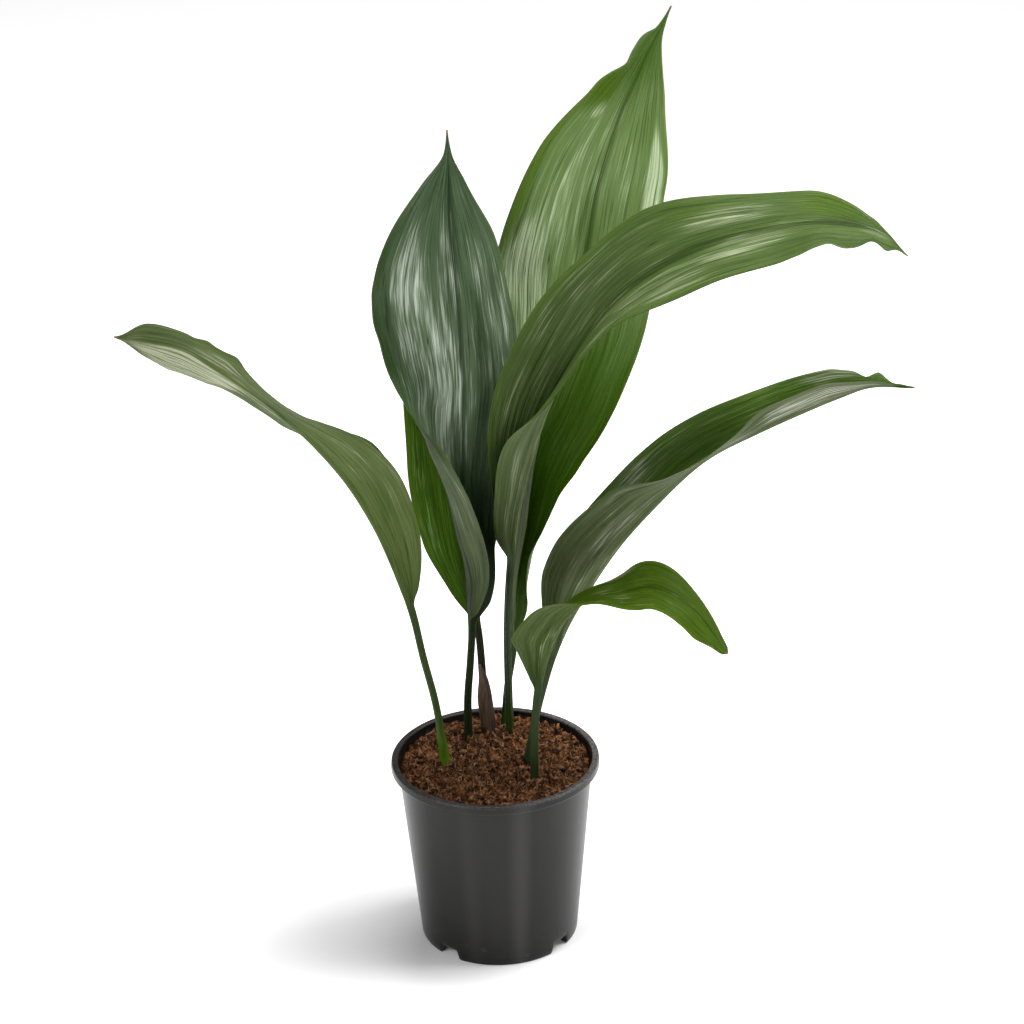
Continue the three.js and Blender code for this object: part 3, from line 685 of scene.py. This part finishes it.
class LeafForm:
    """The curved form of one leaf: where each point of its two faces lies."""

    def __init__(self, leaf, thickness, ribs, rib_height):
        self.line = smooth_line(leaf["spine"])
        self.walked = np.concatenate([[0], np.cumsum(np.linalg.norm(np.diff(self.line, axis=0), axis=1))])
        self.length = self.walked[-1]
        self.neck = self.walked[leaf["neck"] * SPLINE_STEPS] / self.length
        self.leaf = leaf
        self.thickness = thickness
        self.ribs = ribs
        self.rib_height = rib_height

    def spine_at(self, share):
        walked = np.clip(share, 0, 1) * self.length
        return np.stack([np.interp(walked, self.walked, self.line[:, k]) for k in range(3)], 1)

    def place_at(self, share):
        stalk = share / self.neck - 1
        blade = (share - self.neck) / (1 - self.neck)
        return np.where(share < self.neck, stalk, blade)

    def frame_at(self, share):
        along = self.spine_at(share + TANGENT_REACH) - self.spine_at(share - TANGENT_REACH)
        along /= np.linalg.norm(along, axis=1)[:, None]
        front = np.array([0.0, -1.0, 0.0]) + along * along[:, 1:2]
        front /= np.linalg.norm(front, axis=1)[:, None]
        return self.spine_at(share), front, np.cross(along, front)

    def half(self, u, share, sign, columns):
        """Points of the middle surface of one half and the direction of its upper face."""
        at, front, side = self.frame_at(share)
        width, lean_rib, lean_edge = columns.T
        start = np.radians(lean_rib)
        turn = np.radians(lean_edge - lean_rib)
        lean = start + turn * u
        bent = np.abs(turn) > 0.001
        safe = np.where(bent, turn, 1)
        across = np.where(bent, (np.sin(lean) - np.sin(start)) / safe, u * np.cos(start))
        forward = np.where(bent, (np.cos(start) - np.cos(lean)) / safe, u * np.sin(start))
        point = at + side * (sign * width * across)[:, None] + front * (width * forward)[:, None]
        upper = side * (-sign * np.sin(lean))[:, None] + front * np.cos(lean)[:, None]
        outward = side * (sign * np.cos(lean))[:, None] + front * np.sin(lean)[:, None]
        return point + outward * self.flutter(u, share, sign)[:, None], upper, width

    def flutter(self, u, share, sign):
        """How far the margin's small waves reach outward, in millimetres."""
        place = self.place_at(share)
        reach = 0 * u
        for wave_side, centre, length, height in self.leaf.get("flutter", ()):
            if wave_side == sign:
                reach = reach + height * u**3 * np.exp(-(((place - centre) / length) ** 2))
        return reach

    def faces(self, across, share, under):
        """Points of the upper or lower face, for arrays of across (-1 to 1) and share of the length."""
        place = self.place_at(share)
        form = blend_rows(self.leaf["form"], place)
        u = np.abs(across)
        right = across > 0
        left_point, left_upper, left_width = self.half(u, share, -1, form[:, 0:3])
        right_point, right_upper, right_width = self.half(u, share, 1, form[:, 3:6])
        point = np.where(right[:, None], right_point, left_point)
        upper = np.where(right[:, None], right_upper, left_upper)
        width = np.where(right, right_width, left_width)
        rib_upper = left_upper + right_upper
        near_rib = np.clip(1 - u * width / RIB_STRIP, 0, 1)[:, None]
        upper = upper * (1 - near_rib) + rib_upper / np.linalg.norm(rib_upper, axis=1)[:, None] * near_rib
        upper /= np.linalg.norm(upper, axis=1)[:, None]
        swell = np.sin(pi * np.clip(place, 0, 1))
        height, waves, start = self.leaf.get("ripple", NO_RIPPLE)
        shift = start + np.where(right, 0, LEFT_RIPPLE_SHIFT)
        lift = height * swell * u**RIPPLE_POWER * np.sin(2 * pi * (waves * place + shift))
        lift += self.relief(across, place, swell, width)
        skin, keel = blend_rows(self.thickness, place).T
        edge_power = np.interp(place, [-0.1, 0.15], [2, 8])
        from_end = np.minimum(share, 1 - share)
        fullness = np.sqrt(np.clip(1 - u**edge_power, 0, 1)) * np.clip(from_end / END_SHARE, 0, 1)
        depth = skin / 2 * fullness
        if under:
            depth = -depth - keel * np.clip(1 - (u * width / RIB_STRIP) ** 2, 0, 1) * fullness
        return (point + upper * (lift + depth)[:, None]) * MM, place

    def relief(self, across, place, swell, width):
        """Raised ribs that run from the neck to the tip, and a shallow channel over the midrib."""
        u = np.abs(across)
        ribs = 0.5 - 0.5 * np.cos(2 * pi * self.ribs * u)
        uneven = 0.6 + 0.4 * np.sin(23 * across + 5 * place)
        fade = np.clip(swell * 2, 0, 1) * np.clip((1 - u) * 8, 0, 1) * np.clip(width / RIB_BLADE, 0, 1)
        channel = np.exp(-((u * width / CHANNEL_WIDTH) ** 2)) * np.clip(width / CHANNEL_BLADE, 0, 1)
        return fade * (self.rib_height * ribs * uneven - CHANNEL_DEPTH * channel)


def new_piece(name, bm, node, material):
    """Makes a finished piece of a bmesh, which stands for a CAD node, if any."""
    bmesh.ops.recalc_face_normals(bm, faces=bm.faces)
    mesh = bpy.data.meshes.new(name)
    bm.to_mesh(mesh)
    bm.free()
    mesh.polygons.foreach_set("use_smooth", [True] * len(mesh.polygons))
    piece = bpy.data.objects.new(name, mesh)
    bpy.context.scene.collection.objects.link(piece)
    mesh.materials.append(material)
    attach(piece, BODY)
    if node:
        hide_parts(node)


def leaf_mesh(form, columns, rows):
    """Two grids, one for each face, bent to the leaf's form and joined along the edge."""
    bm = bmesh.new()
    grid_layer = bm.verts.layers.float_vector.new("blade")
    for under in (0, 1):
        made = bmesh.ops.create_grid(bm, x_segments=columns, y_segments=rows, size=1)
        verts = made["verts"]
        across, along = np.array([vert.co[:2] for vert in verts]).T
        share = (along + 1) / 2
        points, place = form.faces(across, share, under)
        rim = (np.abs(across) > GRID_EDGE) | (np.abs(along) > GRID_EDGE)
        side = np.where(rim, 0.5, under)
        for vert, point, values in zip(verts, points, np.stack([across, place, side], 1)):
            vert.co = point
            vert[grid_layer] = values
        if under:
            faces = list({face for vert in verts for face in vert.link_faces})
            bmesh.ops.reverse_faces(bm, faces=faces)
    bmesh.ops.remove_doubles(bm, verts=bm.verts, dist=MERGE_DISTANCE)
    return bm


def leaf_finish(name, look):
    """Dark green skin in long bands between the veins, with painted sheen, broken painted highlights over a
    real coat, painted glow at the margin, painted shade, pale edge and dark stalk.
    """
    finish = Finish(name)
    across, place, under = finish.blade()
    side = across.absolute()
    wander = finish.noise(finish.vector(across * 2.0, place * 3.5, under), 1.0, 2.0) - 0.5
    drift = across + wander * 0.12
    face = under * 5

    def bands(wide, long, shift, soft):
        return finish.cells(finish.vector(drift * wide + face, place * long + shift, 0.0), soft)

    def streaks(wide, long, shift, detail=1.0):
        return finish.noise(finish.vector(drift * wide, place * long, face + shift), 1.0, detail)

    def patches(spots):
        total = 0.0
        for x, y, reach, length, strength in spots:
            off = (across - x) * (1 / reach)
            along = (place - y) * (1 / length)
            total = (1 - (off * off + along * along).between(0.0, 1.0)) * strength + total
        return total

    broad = bands(7, 1.6, 0, 0.3)
    narrow = bands(21, 7, 5, 0.2)
    stripe = bands(12, 0.8, 2, 0.1)
    streak = streaks(27, 9, 4).between(0.28, 0.72)
    fine = streaks(66, 16, 7).between(0.28, 0.72)
    blot = streaks(3.5, 7, 9, 3.0)
    ridge = streaks(13, 1.1, 11)
    hair = streaks(30, 1.7, 13)
    grain = finish.noise(finish.objects(), 1500.0, 2.0)
    line = 1 - ((ridge - 0.5).absolute() * 0.6).min((hair - 0.48).absolute()).between(0.0, 0.014)
    texture = broad * 0.20 + narrow * 0.24 + streak * 0.30 + fine * 0.26
    tone = (texture * 0.5 + blot * 0.5).between(0.18, 0.82)
    back_tone = (stripe * 0.3 + texture * 0.4 + blot * 0.3).between(0.15, 0.85)
    comb = narrow * 0.30 + streak * 0.35 + fine * 0.35
    spread = patches(look["gloss_and_highlight"]) + (blot - 0.5) * 1.4
    # Painted sheen: how much pale film goes into the skin's colour, all over and more in the patches.
    sheen_mask = (spread * 0.6 + look["sheen"]).between(0.0, 1.8) * (0.8 + texture * 0.4)
    # Painted highlights in broken streaks, gathered in the patches; the same mask sets the coat's real gloss.
    gloss_and_highlight = (spread + (comb - 0.5) * 1.5).between(0.3, 1.4) * (0.3 + comb * 1.4) * (0.75 + grain * 0.5)
    gloss_and_highlight = gloss_and_highlight * (1 - line * 0.7)
    upper = finish.mix(tone, *look["upper"])
    lower = finish.mix(back_tone, *look["under"])
    colour = finish.mix(under.between(0.3, 0.7), upper, lower)
    # Painted glow of light through the margin of the upper face.
    margin = side.between(0.80, 0.96) * (1 - under) * look["margin"] * (0.4 + narrow * 0.9)
    colour = finish.mix(margin, colour, look["glow"])
    # The painted sheen's colour, a share of the highlight colour.
    sheen_colour = tuple(c * share for c, share in zip(look["highlight_colour"], SHEEN_SHARE))
    colour = finish.mix(sheen_mask * 0.55, colour, sheen_colour)
    # The painted highlight colour is mixed in where that mask is strong.
    colour = finish.mix(gloss_and_highlight * 0.7, colour, look["highlight_colour"])
    dark = scaled(look["upper"][0], DARKENED)
    # Painted glow: patches of saturated green where light shines through the blade.
    if "glow_spots" in look:
        colour = finish.mix(patches(look["glow_spots"]) * (0.5 + comb * 0.5), colour, look["glow"])
    colour = finish.mix(line * 0.55, colour, dark)
    # Painted shadow in a narrow band just right of the midrib on the upper face.
    groove_shadow = across.between(0.0, 0.02) * (1 - across.between(0.05, 0.11)) * (1 - under) * 0.5
    colour = finish.mix(groove_shadow, colour, dark)
    # Painted shade: patches darkened toward the deep colour where the blade lies in shadow.
    colour = finish.mix(patches(look["shade"]) * (1.1 - tone * 0.5), colour, look.get("deep", dark))
    stalk = 1 - place.between(-0.05, 0.10)
    rib = (1 - side.between(0.0, 0.03)) * (1 - place.between(0.7, 1.0)) * under.between(0.3, 0.7) * 0.5
    colour = finish.mix(rib, colour, PALE_RIB)
    colour = finish.mix(side.between(0.980, 0.998) * 0.5, colour, PALE_EDGE)
    foot = 1 - place.between(-0.95, -0.55)
    skin = finish.mix(foot, *look["stalk"])
    skin = finish.mix(streak * 0.35 + blot * 0.5, skin, scaled(look["stalk"][0], DARKENED))
    colour = finish.mix(stalk * 0.9, colour, skin)
    colour = finish.mix(place.between(0.985, 0.998), colour, DRY_TIP)
    roughness = 0.36 + streak * 0.12 + under * 0.18
    height = ridge * 0.6 + narrow * 0.25 + streak * 0.3 + fine * 0.2 + grain * 0.05
    normal = finish.bump(height, 0.6, 0.0014)
    return finish.surface(Base_Color=colour, Roughness=roughness, Normal=normal, Specular_IOR_Level=0.07,
                          Coat_Weight=gloss_and_highlight * 0.35, Coat_Roughness=0.3)


def spun(outline, steps):
    """A mesh of a half outline of (radius, height), in millimetres, spun once round the pot's axis."""
    bm = bmesh.new()
    verts = [bm.verts.new((r * MM, 0, z * MM)) for r, z in outline]
    edges = [bm.edges.new(pair) for pair in zip(verts, verts[1:])]
    bmesh.ops.spin(bm, geom=verts + edges, cent=(0, 0, 0), axis=(0, 0, 1), angle=2 * pi, steps=steps,
                   use_merge=True, use_duplicate=False)
    bmesh.ops.remove_doubles(bm, verts=bm.verts, dist=MERGE_DISTANCE)
    return bm


def arc(radius, height, reach, rise, start, end, count):
    """Points of an arc about (radius, height) that reaches out and rises by the given amounts."""
    return [(radius + reach * cos(a), height + rise * sin(a)) for a in np.linspace(start, end, count)]


def pot_profile():
    """Half outline of the pot from the middle of its underside, over the lip and down inside."""
    lip = POT_HEIGHT - POT_LIP_HEIGHT
    neck = POT_NECK_RADIUS
    inner = neck - POT_WALL
    wall = [(POT_BASE_RADIUS + (neck - POT_BASE_RADIUS) * z / lip, z) for z in np.linspace(1, lip - 1.2, 40)]
    shoulder = [(neck, lip - 0.6), (neck + 0.3, lip - 0.1)]
    crown_radius = POT_RIM_RADIUS - LIP_SET_BACK - LIP_CROWN
    mouth_height = POT_HEIGHT - LIP_SET_BACK - LIP_MOUTH
    bead = arc(POT_RIM_RADIUS - LIP_BEAD, lip + 2.0, LIP_BEAD, 1.6, -pi / 2, 0, 7)
    crown = arc(crown_radius, POT_HEIGHT - LIP_CROWN, LIP_CROWN, LIP_CROWN, 0, pi / 2, 9)
    mouth = arc(neck + 1.1, mouth_height, LIP_MOUTH, LIP_MOUTH, pi / 2, pi, 6)
    inside = [(neck - 0.4, lip + 1.2), (inner, lip), (inner - 0.1, lip - 4), (POT_BASE_RADIUS + 1.5, 30)]
    floor = [(r, POT_FLOOR) for r in np.linspace(POT_BASE_RADIUS - POT_WALL - 1, 0, 24)]
    underside = [(r, 0) for r in np.linspace(0, POT_BASE_RADIUS - 1, 34)] + [(POT_BASE_RADIUS - 0.3, 0.3)]
    return underside + wall + shoulder + bead + crown + mouth + inside + floor


def notch_rise(x, y):
    """How far the foot is raised at a point by the nearest notch, in millimetres."""
    reach = hypot(x, y)
    inward = min((reach - NOTCH_INNER_RADIUS + NOTCH_SLANT) / NOTCH_SLANT, 1)
    if inward < 0:
        return 0.0
    rise = 0.0
    for azimuth in NOTCH_AZIMUTHS:
        angle = radians(azimuth)
        if x * cos(angle) + y * sin(angle) < 0:
            continue
        off = abs(y * cos(angle) - x * sin(angle))
        share = min(max((NOTCH_HALF_WIDTH - off) / NOTCH_SLANT, 0), 1)
        rise = max(rise, NOTCH_HEIGHT * share**NOTCH_CURVE * inward)
    return rise


def pot_mesh(sides):
    """The outline spun round, its foot pushed up at the notches."""
    bm = spun(pot_profile(), sides)
    foot = NOTCH_HEIGHT + POT_FLOOR + 1
    for vert in bm.verts:
        x, y, z = (c / MM for c in vert.co)
        rise = notch_rise(x, y)
        if z < foot and rise > 0:
            vert.co.z = (rise + z * (foot - rise) / foot) * MM
    return bm


def pot_finish(colour):
    """Satin charcoal plastic with faint flow streaks, two upright painted highlights, a worn rim painted
    lighter on its right as a painted highlight, and a scuffed foot.
    """
    finish = Finish("pot_plastic")
    at = finish.objects()
    x, y, z = finish.split(at)
    flow = finish.noise(finish.vector(x * 60, y * 60, z * 4), 1.0, 3.0)
    cloud = finish.noise(at, 18.0, 4.0)
    speck = finish.noise(at, 1400.0, 2.0)
    scuff = finish.noise(at, 90.0, 5.0, 0.65).between(0.58, 0.72) * (1 - z.between(0.004, 0.03))
    # Two upright bands at fixed azimuths, painted lighter as painted highlights and made a little rougher.
    azimuth = x.math("ARCTAN2", x, y * -1)
    highlight_band = 1 - (azimuth - 0.25 + (flow - 0.5) * 0.03).absolute().between(0.0, 0.17)
    highlight_band = highlight_band + (1 - (azimuth + 0.32).absolute().between(0.0, 0.16)) * 0.3
    base = finish.mix((flow * 0.5 + cloud * 0.5).between(0.35, 0.7) * 0.6, colour, scaled(colour, 1.5, 0.003))
    base = finish.mix(highlight_band, base, scaled(colour, 2, 0.017))
    base = finish.mix(scuff * 0.35, base, (0.10, 0.095, 0.09))
    rim = POT_HEIGHT * MM
    # The rim's crown is worn lighter at random, and more on its right side, which is a painted highlight.
    wear_and_highlight = z.between(rim - 0.0022, rim - 0.001) * finish.noise(at, 620.0, 3.0, 0.6).between(0.20, 0.72)
    wear_and_highlight = wear_and_highlight * (0.35 + x.between(0.0, 0.06) * 0.65)
    base = finish.mix(wear_and_highlight * 0.8, base, (0.19, 0.180, 0.175))
    roughness = 0.25 + cloud * 0.10 + scuff * 0.2 + highlight_band * 0.05 + wear_and_highlight * 0.25
    normal = finish.bump(speck * 0.4 + flow * 0.3 + scuff, 0.25, 0.0004)
    return finish.surface(Base_Color=base, Roughness=roughness, Normal=normal, Specular_IOR_Level=0.22)


def soil_height(x, y):
    """Height of the soil at a point, in millimetres, with the lumps of the real surface."""
    spread = hypot(x, y) / POT_NECK_RADIUS
    bumps = sin(0.23 * x + 1.3) * cos(0.19 * y + 0.4) + 0.6 * sin(0.41 * x - 0.37 * y)
    lumps = sum(height * noise.noise(Vector((x, y, layer)) * scale) for height, layer, scale in SOIL_LUMPS)
    depth, layer, scale = SOIL_PITS
    lumps -= depth * max(noise.noise(Vector((x, y, layer)) * scale) - PIT_START, 0)
    bank = SOIL_BANK * min(max(y / POT_NECK_RADIUS, 0), 1) * spread**4
    return SOIL_LEVEL + SOIL_MOUND * (1 - spread**2) + SOIL_BUMP * bumps + lumps + bank


def soil_radius(z):
    """Radius of the soil at a height, in millimetres, just clear of the pot's wall."""
    rise = z / (POT_HEIGHT - POT_LIP_HEIGHT)
    return POT_BASE_RADIUS + (POT_NECK_RADIUS - POT_BASE_RADIUS) * rise - POT_WALL - SOIL_CLEARANCE


def soil_mesh():
    """A disc of soil with a lumpy top and a plain underside."""
    outline = [(0, SOIL_BOTTOM), (soil_radius(SOIL_BOTTOM), SOIL_BOTTOM)]
    outline += [(r, SOIL_LEVEL) for r in np.linspace(soil_radius(SOIL_LEVEL), 0, SOIL_RINGS)]
    bm = spun(outline, SOIL_SIDES)
    for vert in bm.verts:
        if vert.co.z > (SOIL_LEVEL - 1) * MM:
            vert.co.z = soil_height(vert.co.x / MM, vert.co.y / MM) * MM
    return bm


def soil_finish():
    """Damp red-brown peat, near black to light brown in random patches, with tan flecks."""
    finish = Finish("soil_peat")
    at = finish.objects()
    grit = finish.noise(at, 420.0, 5.0, 0.7)
    patch = finish.noise(at, 150.0, 3.0, 0.6)
    fleck = finish.noise(at, 650.0, 2.0).between(0.62, 0.72)
    ramp = [(0.42, (0.005, 0.002, 0.0006)), (0.5, (0.082, 0.028, 0.007)), (0.60, (0.32, 0.135, 0.054))]
    shade = grit * 0.45 + patch * 0.55
    base = finish.node("ShaderNodeValToRGB", {"stops": ramp}, {"Fac": shade}).outputs["Color"]
    base = finish.mix(fleck * 0.5, base, (0.32, 0.17, 0.07))
    normal = finish.bump(grit + patch * 0.5, 1.0, 0.002)
    roughness = 0.88 + grit * 0.1
    return finish.surface(Base_Color=base, Roughness=roughness, Normal=normal, Specular_IOR_Level=EARTH_SHINE)


def scatter_point(rng):
    """A random place on the soil, in millimetres, evenly spread over its disc."""
    reach = (soil_radius(SOIL_LEVEL) - SCATTER_MARGIN) * rng.random() ** 0.5
    angle = 2 * pi * rng.random()
    return reach * cos(angle), reach * sin(angle)


def copies(shape, count):
    """Many copies of one small shape in a new bmesh, and its vertices grouped by copy."""
    mesh = bpy.data.meshes.new("shape")
    shape.to_mesh(mesh)
    shape.free()
    bm = bmesh.new()
    for _ in range(count):
        bm.from_mesh(mesh)
    verts = list(bm.verts)
    size = len(mesh.vertices)
    bpy.data.meshes.remove(mesh)
    return bm, [verts[start:start + size] for start in range(0, len(verts), size)]


def fibre_mesh(count, rng):
    """Short curled coir fibres: a thin prism each, bent in an arc over the soil."""
    strand = bmesh.new()
    bmesh.ops.create_cone(strand, cap_ends=True, segments=4, radius1=1, radius2=0.5, depth=1)
    long_edges = [edge for edge in strand.edges if abs(edge.verts[0].co.z - edge.verts[1].co.z) > 0.5]
    bmesh.ops.subdivide_edges(strand, edges=long_edges, cuts=7, use_grid_fill=True)
    bm, fibres = copies(strand, count)
    limit = soil_radius(SOIL_LEVEL) - FIBRE_MARGIN
    for verts in fibres:
        x, y = scatter_point(rng)
        lengths, arches, thicknesses = LONG_FIBRE if rng.random() < LONG_FIBRE_SHARE else SHORT_FIBRE
        length = rng.uniform(*lengths)
        heading = rng.uniform(0, 2 * pi)
        curl = rng.uniform(-FIBRE_CURL, FIBRE_CURL)
        arch = rng.uniform(*arches)
        thick = rng.uniform(*thicknesses)
        for vert in verts:
            s = vert.co.z + 0.5
            turn = heading + curl * s
            px = x + length * s * cos(heading + curl * s / 2) - vert.co.x * thick * sin(turn)
            py = y + length * s * sin(heading + curl * s / 2) + vert.co.x * thick * cos(turn)
            inside = min(limit / max(hypot(px, py), 1), 1)
            px, py = px * inside, py * inside
            pz = soil_height(px, py) + arch * sin(pi * s) + vert.co.y * thick + FIBRE_LIFT
            vert.co = Vector((px, py, pz)) * MM
    return bm


def fibre_finish():
    """Tan to red-brown dry coir."""
    finish = Finish("coir_fibre")
    at = finish.objects()
    tone = finish.noise(at, 240.0, 2.0).between(0.42, 0.66)
    base = finish.mix(tone, (0.050, 0.018, 0.005), (0.62, 0.35, 0.18))
    base = finish.mix(finish.noise(at, 900.0, 2.0) * 0.5, base, (0.05, 0.022, 0.012))
    normal = finish.bump(finish.noise(at, 2500.0, 2.0), 0.4, 0.0003)
    return finish.surface(Base_Color=base, Roughness=0.75, Normal=normal, Specular_IOR_Level=EARTH_SHINE)


def crumb_mesh(count, rng):
    """Crumbs and chips of peat, half sunk in the soil."""
    ball = bmesh.new()
    bmesh.ops.create_icosphere(ball, subdivisions=1, radius=1)
    bm, crumbs = copies(ball, count)
    for verts in crumbs:
        x, y = scatter_point(rng)
        size = rng.uniform(*(SMALL_CRUMB if rng.random() < SMALL_CRUMB_SHARE else LARGE_CRUMB))
        stretch = Vector([rng.uniform(*span) for span in CRUMB_STRETCH]) * size
        turn = Euler([rng.uniform(*span) for span in (CRUMB_TILT, CRUMB_TILT, (0, 2 * pi))]).to_matrix()
        at = Vector((x, y, soil_height(x, y) + size * rng.uniform(*CRUMB_LIFT)))
        for vert in verts:
            vert.co *= rng.uniform(*CRUMB_ROUGHNESS)
            vert.co = (turn @ Vector(c * s for c, s in zip(vert.co, stretch)) + at) * MM
    return bm


def crumb_finish():
    """Darker and lighter crumbs of bark and peat."""
    finish = Finish("soil_crumbs")
    at = finish.objects()
    tone = finish.noise(at, 260.0, 1.0).between(0.40, 0.66)
    grit = finish.noise(at, 1800.0, 3.0)
    base = finish.mix(tone, (0.012, 0.004, 0.001), (0.27, 0.12, 0.052))
    base = finish.mix(grit.between(0.55, 0.75) * 0.5, base, (0.30, 0.15, 0.06))
    normal = finish.bump(grit, 0.9, 0.0008)
    return finish.surface(Base_Color=base, Roughness=0.85, Normal=normal, Specular_IOR_Level=EARTH_SHINE)


def sheath_finish():
    """Papery brown tissue with darker fibres along it."""
    finish = Finish("papery_sheath")
    across, place, _ = finish.blade()
    fibre = finish.noise(finish.vector(across * 22, place * 2, 3.0), 1.0, 3.0)
    base = finish.mix(fibre.between(0.35, 0.65), (0.085, 0.040, 0.022), (0.30, 0.19, 0.12))
    base = finish.mix(across.between(0.1, 0.5) * 0.75, base, (0.035, 0.017, 0.011))
    normal = finish.bump(fibre, 0.8, 0.0012)
    return finish.surface(Base_Color=base, Roughness=0.7, Normal=normal)


class PLANT_OT_pot(bpy.types.Operator):
    """Spin the pot and notch its foot"""
    bl_idname = "plant.pot"
    bl_label = "Build pot"

    def execute(self, context):
        settings = context.scene.plant_pot
        new_piece("pot_shell", pot_mesh(settings.sides), "pot", pot_finish(settings.color))
        return {"FINISHED"}


class PLANT_OT_soil(bpy.types.Operator):
    """Fill the pot with lumpy soil, coir fibres and crumbs"""
    bl_idname = "plant.soil"
    bl_label = "Build soil"

    def execute(self, context):
        settings = context.scene.plant_soil
        rng = np.random.default_rng(settings.seed)
        new_piece("soil_bed", soil_mesh(), "soil", soil_finish())
        new_piece("soil_fibres", fibre_mesh(settings.fibres, rng), None, fibre_finish())
        new_piece("soil_crumbs", crumb_mesh(settings.crumbs, rng), None, crumb_finish())
        return {"FINISHED"}


class PLANT_OT_leaves(bpy.types.Operator):
    """Bend each leaf and its stalk to its own form"""
    bl_idname = "plant.leaves"
    bl_label = "Build leaves"

    def execute(self, context):
        settings = context.scene.plant_leaves
        for name, leaf in LEAVES.items():
            form = LeafForm(leaf, THICKNESS, settings.ribs, settings.rib_height)
            mesh = leaf_mesh(form, settings.across, settings.along)
            new_piece(name + "_blade", mesh, name, leaf_finish(name + "_skin", LEAF_LOOKS[name]))
        return {"FINISHED"}


class PLANT_OT_sheath(bpy.types.Operator):
    """Curl the dry sheath round its stalk"""
    bl_idname = "plant.sheath"
    bl_label = "Build dry sheath"

    def execute(self, context):
        form = LeafForm(DRY_SHEATH, SHEATH_THICKNESS, SHEATH_RIBS, SHEATH_RIB_HEIGHT)
        mesh = leaf_mesh(form, columns=40, rows=60)
        new_piece("dry_sheath_paper", mesh, "dry_sheath", sheath_finish())
        return {"FINISHED"}


def floor_finish(colour):
    """Matte pale floor with a painted glow, faint by the pot and full further off, soonest toward the front,
    so the studio has no far edge and the leaves' shadows wash out.
    """
    finish = Finish("studio_floor")
    at = finish.objects()
    x, y, _ = finish.split(at)
    near = y.min(0) * 1.5 + y
    away = ((x + 0.03) ** 2 + near ** 2) ** 0.5
    base = finish.mix(finish.noise(at, 3.0, 2.0), scaled(colour, 0.985), colour)
    # Painted light: the floor's glow, from faint near the pot to full further off.
    glow = finish.mix(away.between(0.05, 0.40), (0.06, 0.06, 0.06), (1.0, 1.0, 1.0))
    return finish.surface(Base_Color=base, Roughness=0.9, Specular_IOR_Level=0.2,
                          Emission_Color=glow, Emission_Strength=0.75)


def area_light(name, at, size, power):
    """Hangs a soft rectangular light that points at the plant."""
    light = bpy.data.lights.new(name, "AREA")
    light.shape = "RECTANGLE"
    light.size, light.size_y = size
    light.energy = power
    lamp = bpy.data.objects.new(name, light)
    bpy.context.scene.collection.objects.link(lamp)
    lamp.location = at
    lamp.rotation_euler = (Vector(LIGHT_AIM) - Vector(at)).to_track_quat("-Z", "Y").to_euler()


class PLANT_OT_stage(bpy.types.Operator):
    """Lay the floor, hang the soft lights and set the camera"""
    bl_idname = "plant.stage"
    bl_label = "Build stage"

    def execute(self, context):
        settings = context.scene.plant_stage
        bm = bmesh.new()
        bmesh.ops.create_grid(bm, x_segments=1, y_segments=1, size=FLOOR_REACH)
        mesh = bpy.data.meshes.new("floor")
        bm.to_mesh(mesh)
        bm.free()
        floor = bpy.data.objects.new("floor", mesh)
        context.scene.collection.objects.link(floor)
        mesh.materials.append(floor_finish(tuple(settings.floor)))
        self.light(context)
        self.place_camera(context, settings)
        return {"FINISHED"}

    def light(self, context):
        for lamp in LIGHTS:
            area_light(*lamp)
        world = bpy.data.worlds.new("studio")
        world.use_nodes = True
        background = world.node_tree.nodes["Background"]
        background.inputs["Color"].default_value = (1, 1, 1, 1)
        background.inputs["Strength"].default_value = WORLD_LIGHT
        context.scene.world = world
        context.scene.view_settings.view_transform = "Standard"

    def place_camera(self, context, settings):
        data = bpy.data.cameras.new("camera")
        data.lens = settings.lens
        data.sensor_width = SENSOR_WIDTH
        camera = bpy.data.objects.new("camera", data)
        context.scene.collection.objects.link(camera)
        turn = Matrix.Rotation(-settings.yaw, 4, "Z") @ Matrix.Rotation(pi / 2 - settings.pitch, 4, "X")
        turn = turn @ Matrix.Rotation(settings.roll, 4, "Z")
        rim = POT_HEIGHT * MM
        back = -settings.distance * cos(settings.rise)
        above = rim + settings.distance * sin(settings.rise)
        camera.matrix_world = Matrix.Translation((0, back, above)) @ turn
        context.scene.camera = camera


class PLANT_PT_panel(bpy.types.Panel):
    """Lists the steps that build the plant"""
    bl_idname = "PLANT_PT_panel"
    bl_label = "Potted cast iron plant"
    bl_space_type = "VIEW_3D"
    bl_region_type = "UI"
    bl_category = "Plant"

    def draw(self, context):
        for operator in OPERATORS:
            self.layout.operator(operator.bl_idname)
        for name, _ in SETTINGS:
            group = getattr(context.scene, name)
            for key in group.__annotations__:
                self.layout.prop(group, key)


SETTINGS = (
    ("plant_pot", PotSettings),
    ("plant_soil", SoilSettings),
    ("plant_leaves", LeafSettings),
    ("plant_stage", StageSettings),
)
OPERATORS = (PLANT_OT_pot, PLANT_OT_soil, PLANT_OT_leaves, PLANT_OT_sheath, PLANT_OT_stage)


def register():
    for name, group in SETTINGS:
        bpy.utils.register_class(group)
        setattr(bpy.types.Scene, name, PointerProperty(type=group))
    for operator in OPERATORS:
        bpy.utils.register_class(operator)
    bpy.utils.register_class(PLANT_PT_panel)


def unregister():
    bpy.utils.unregister_class(PLANT_PT_panel)
    for operator in reversed(OPERATORS):
        bpy.utils.unregister_class(operator)
    for name, group in reversed(SETTINGS):
        delattr(bpy.types.Scene, name)
        bpy.utils.unregister_class(group)


def main():
    register()
    bpy.ops.plant.pot()
    bpy.ops.plant.soil()
    bpy.ops.plant.leaves()
    bpy.ops.plant.sheath()
    bpy.ops.plant.stage()


if __name__ == "__main__":
    main()
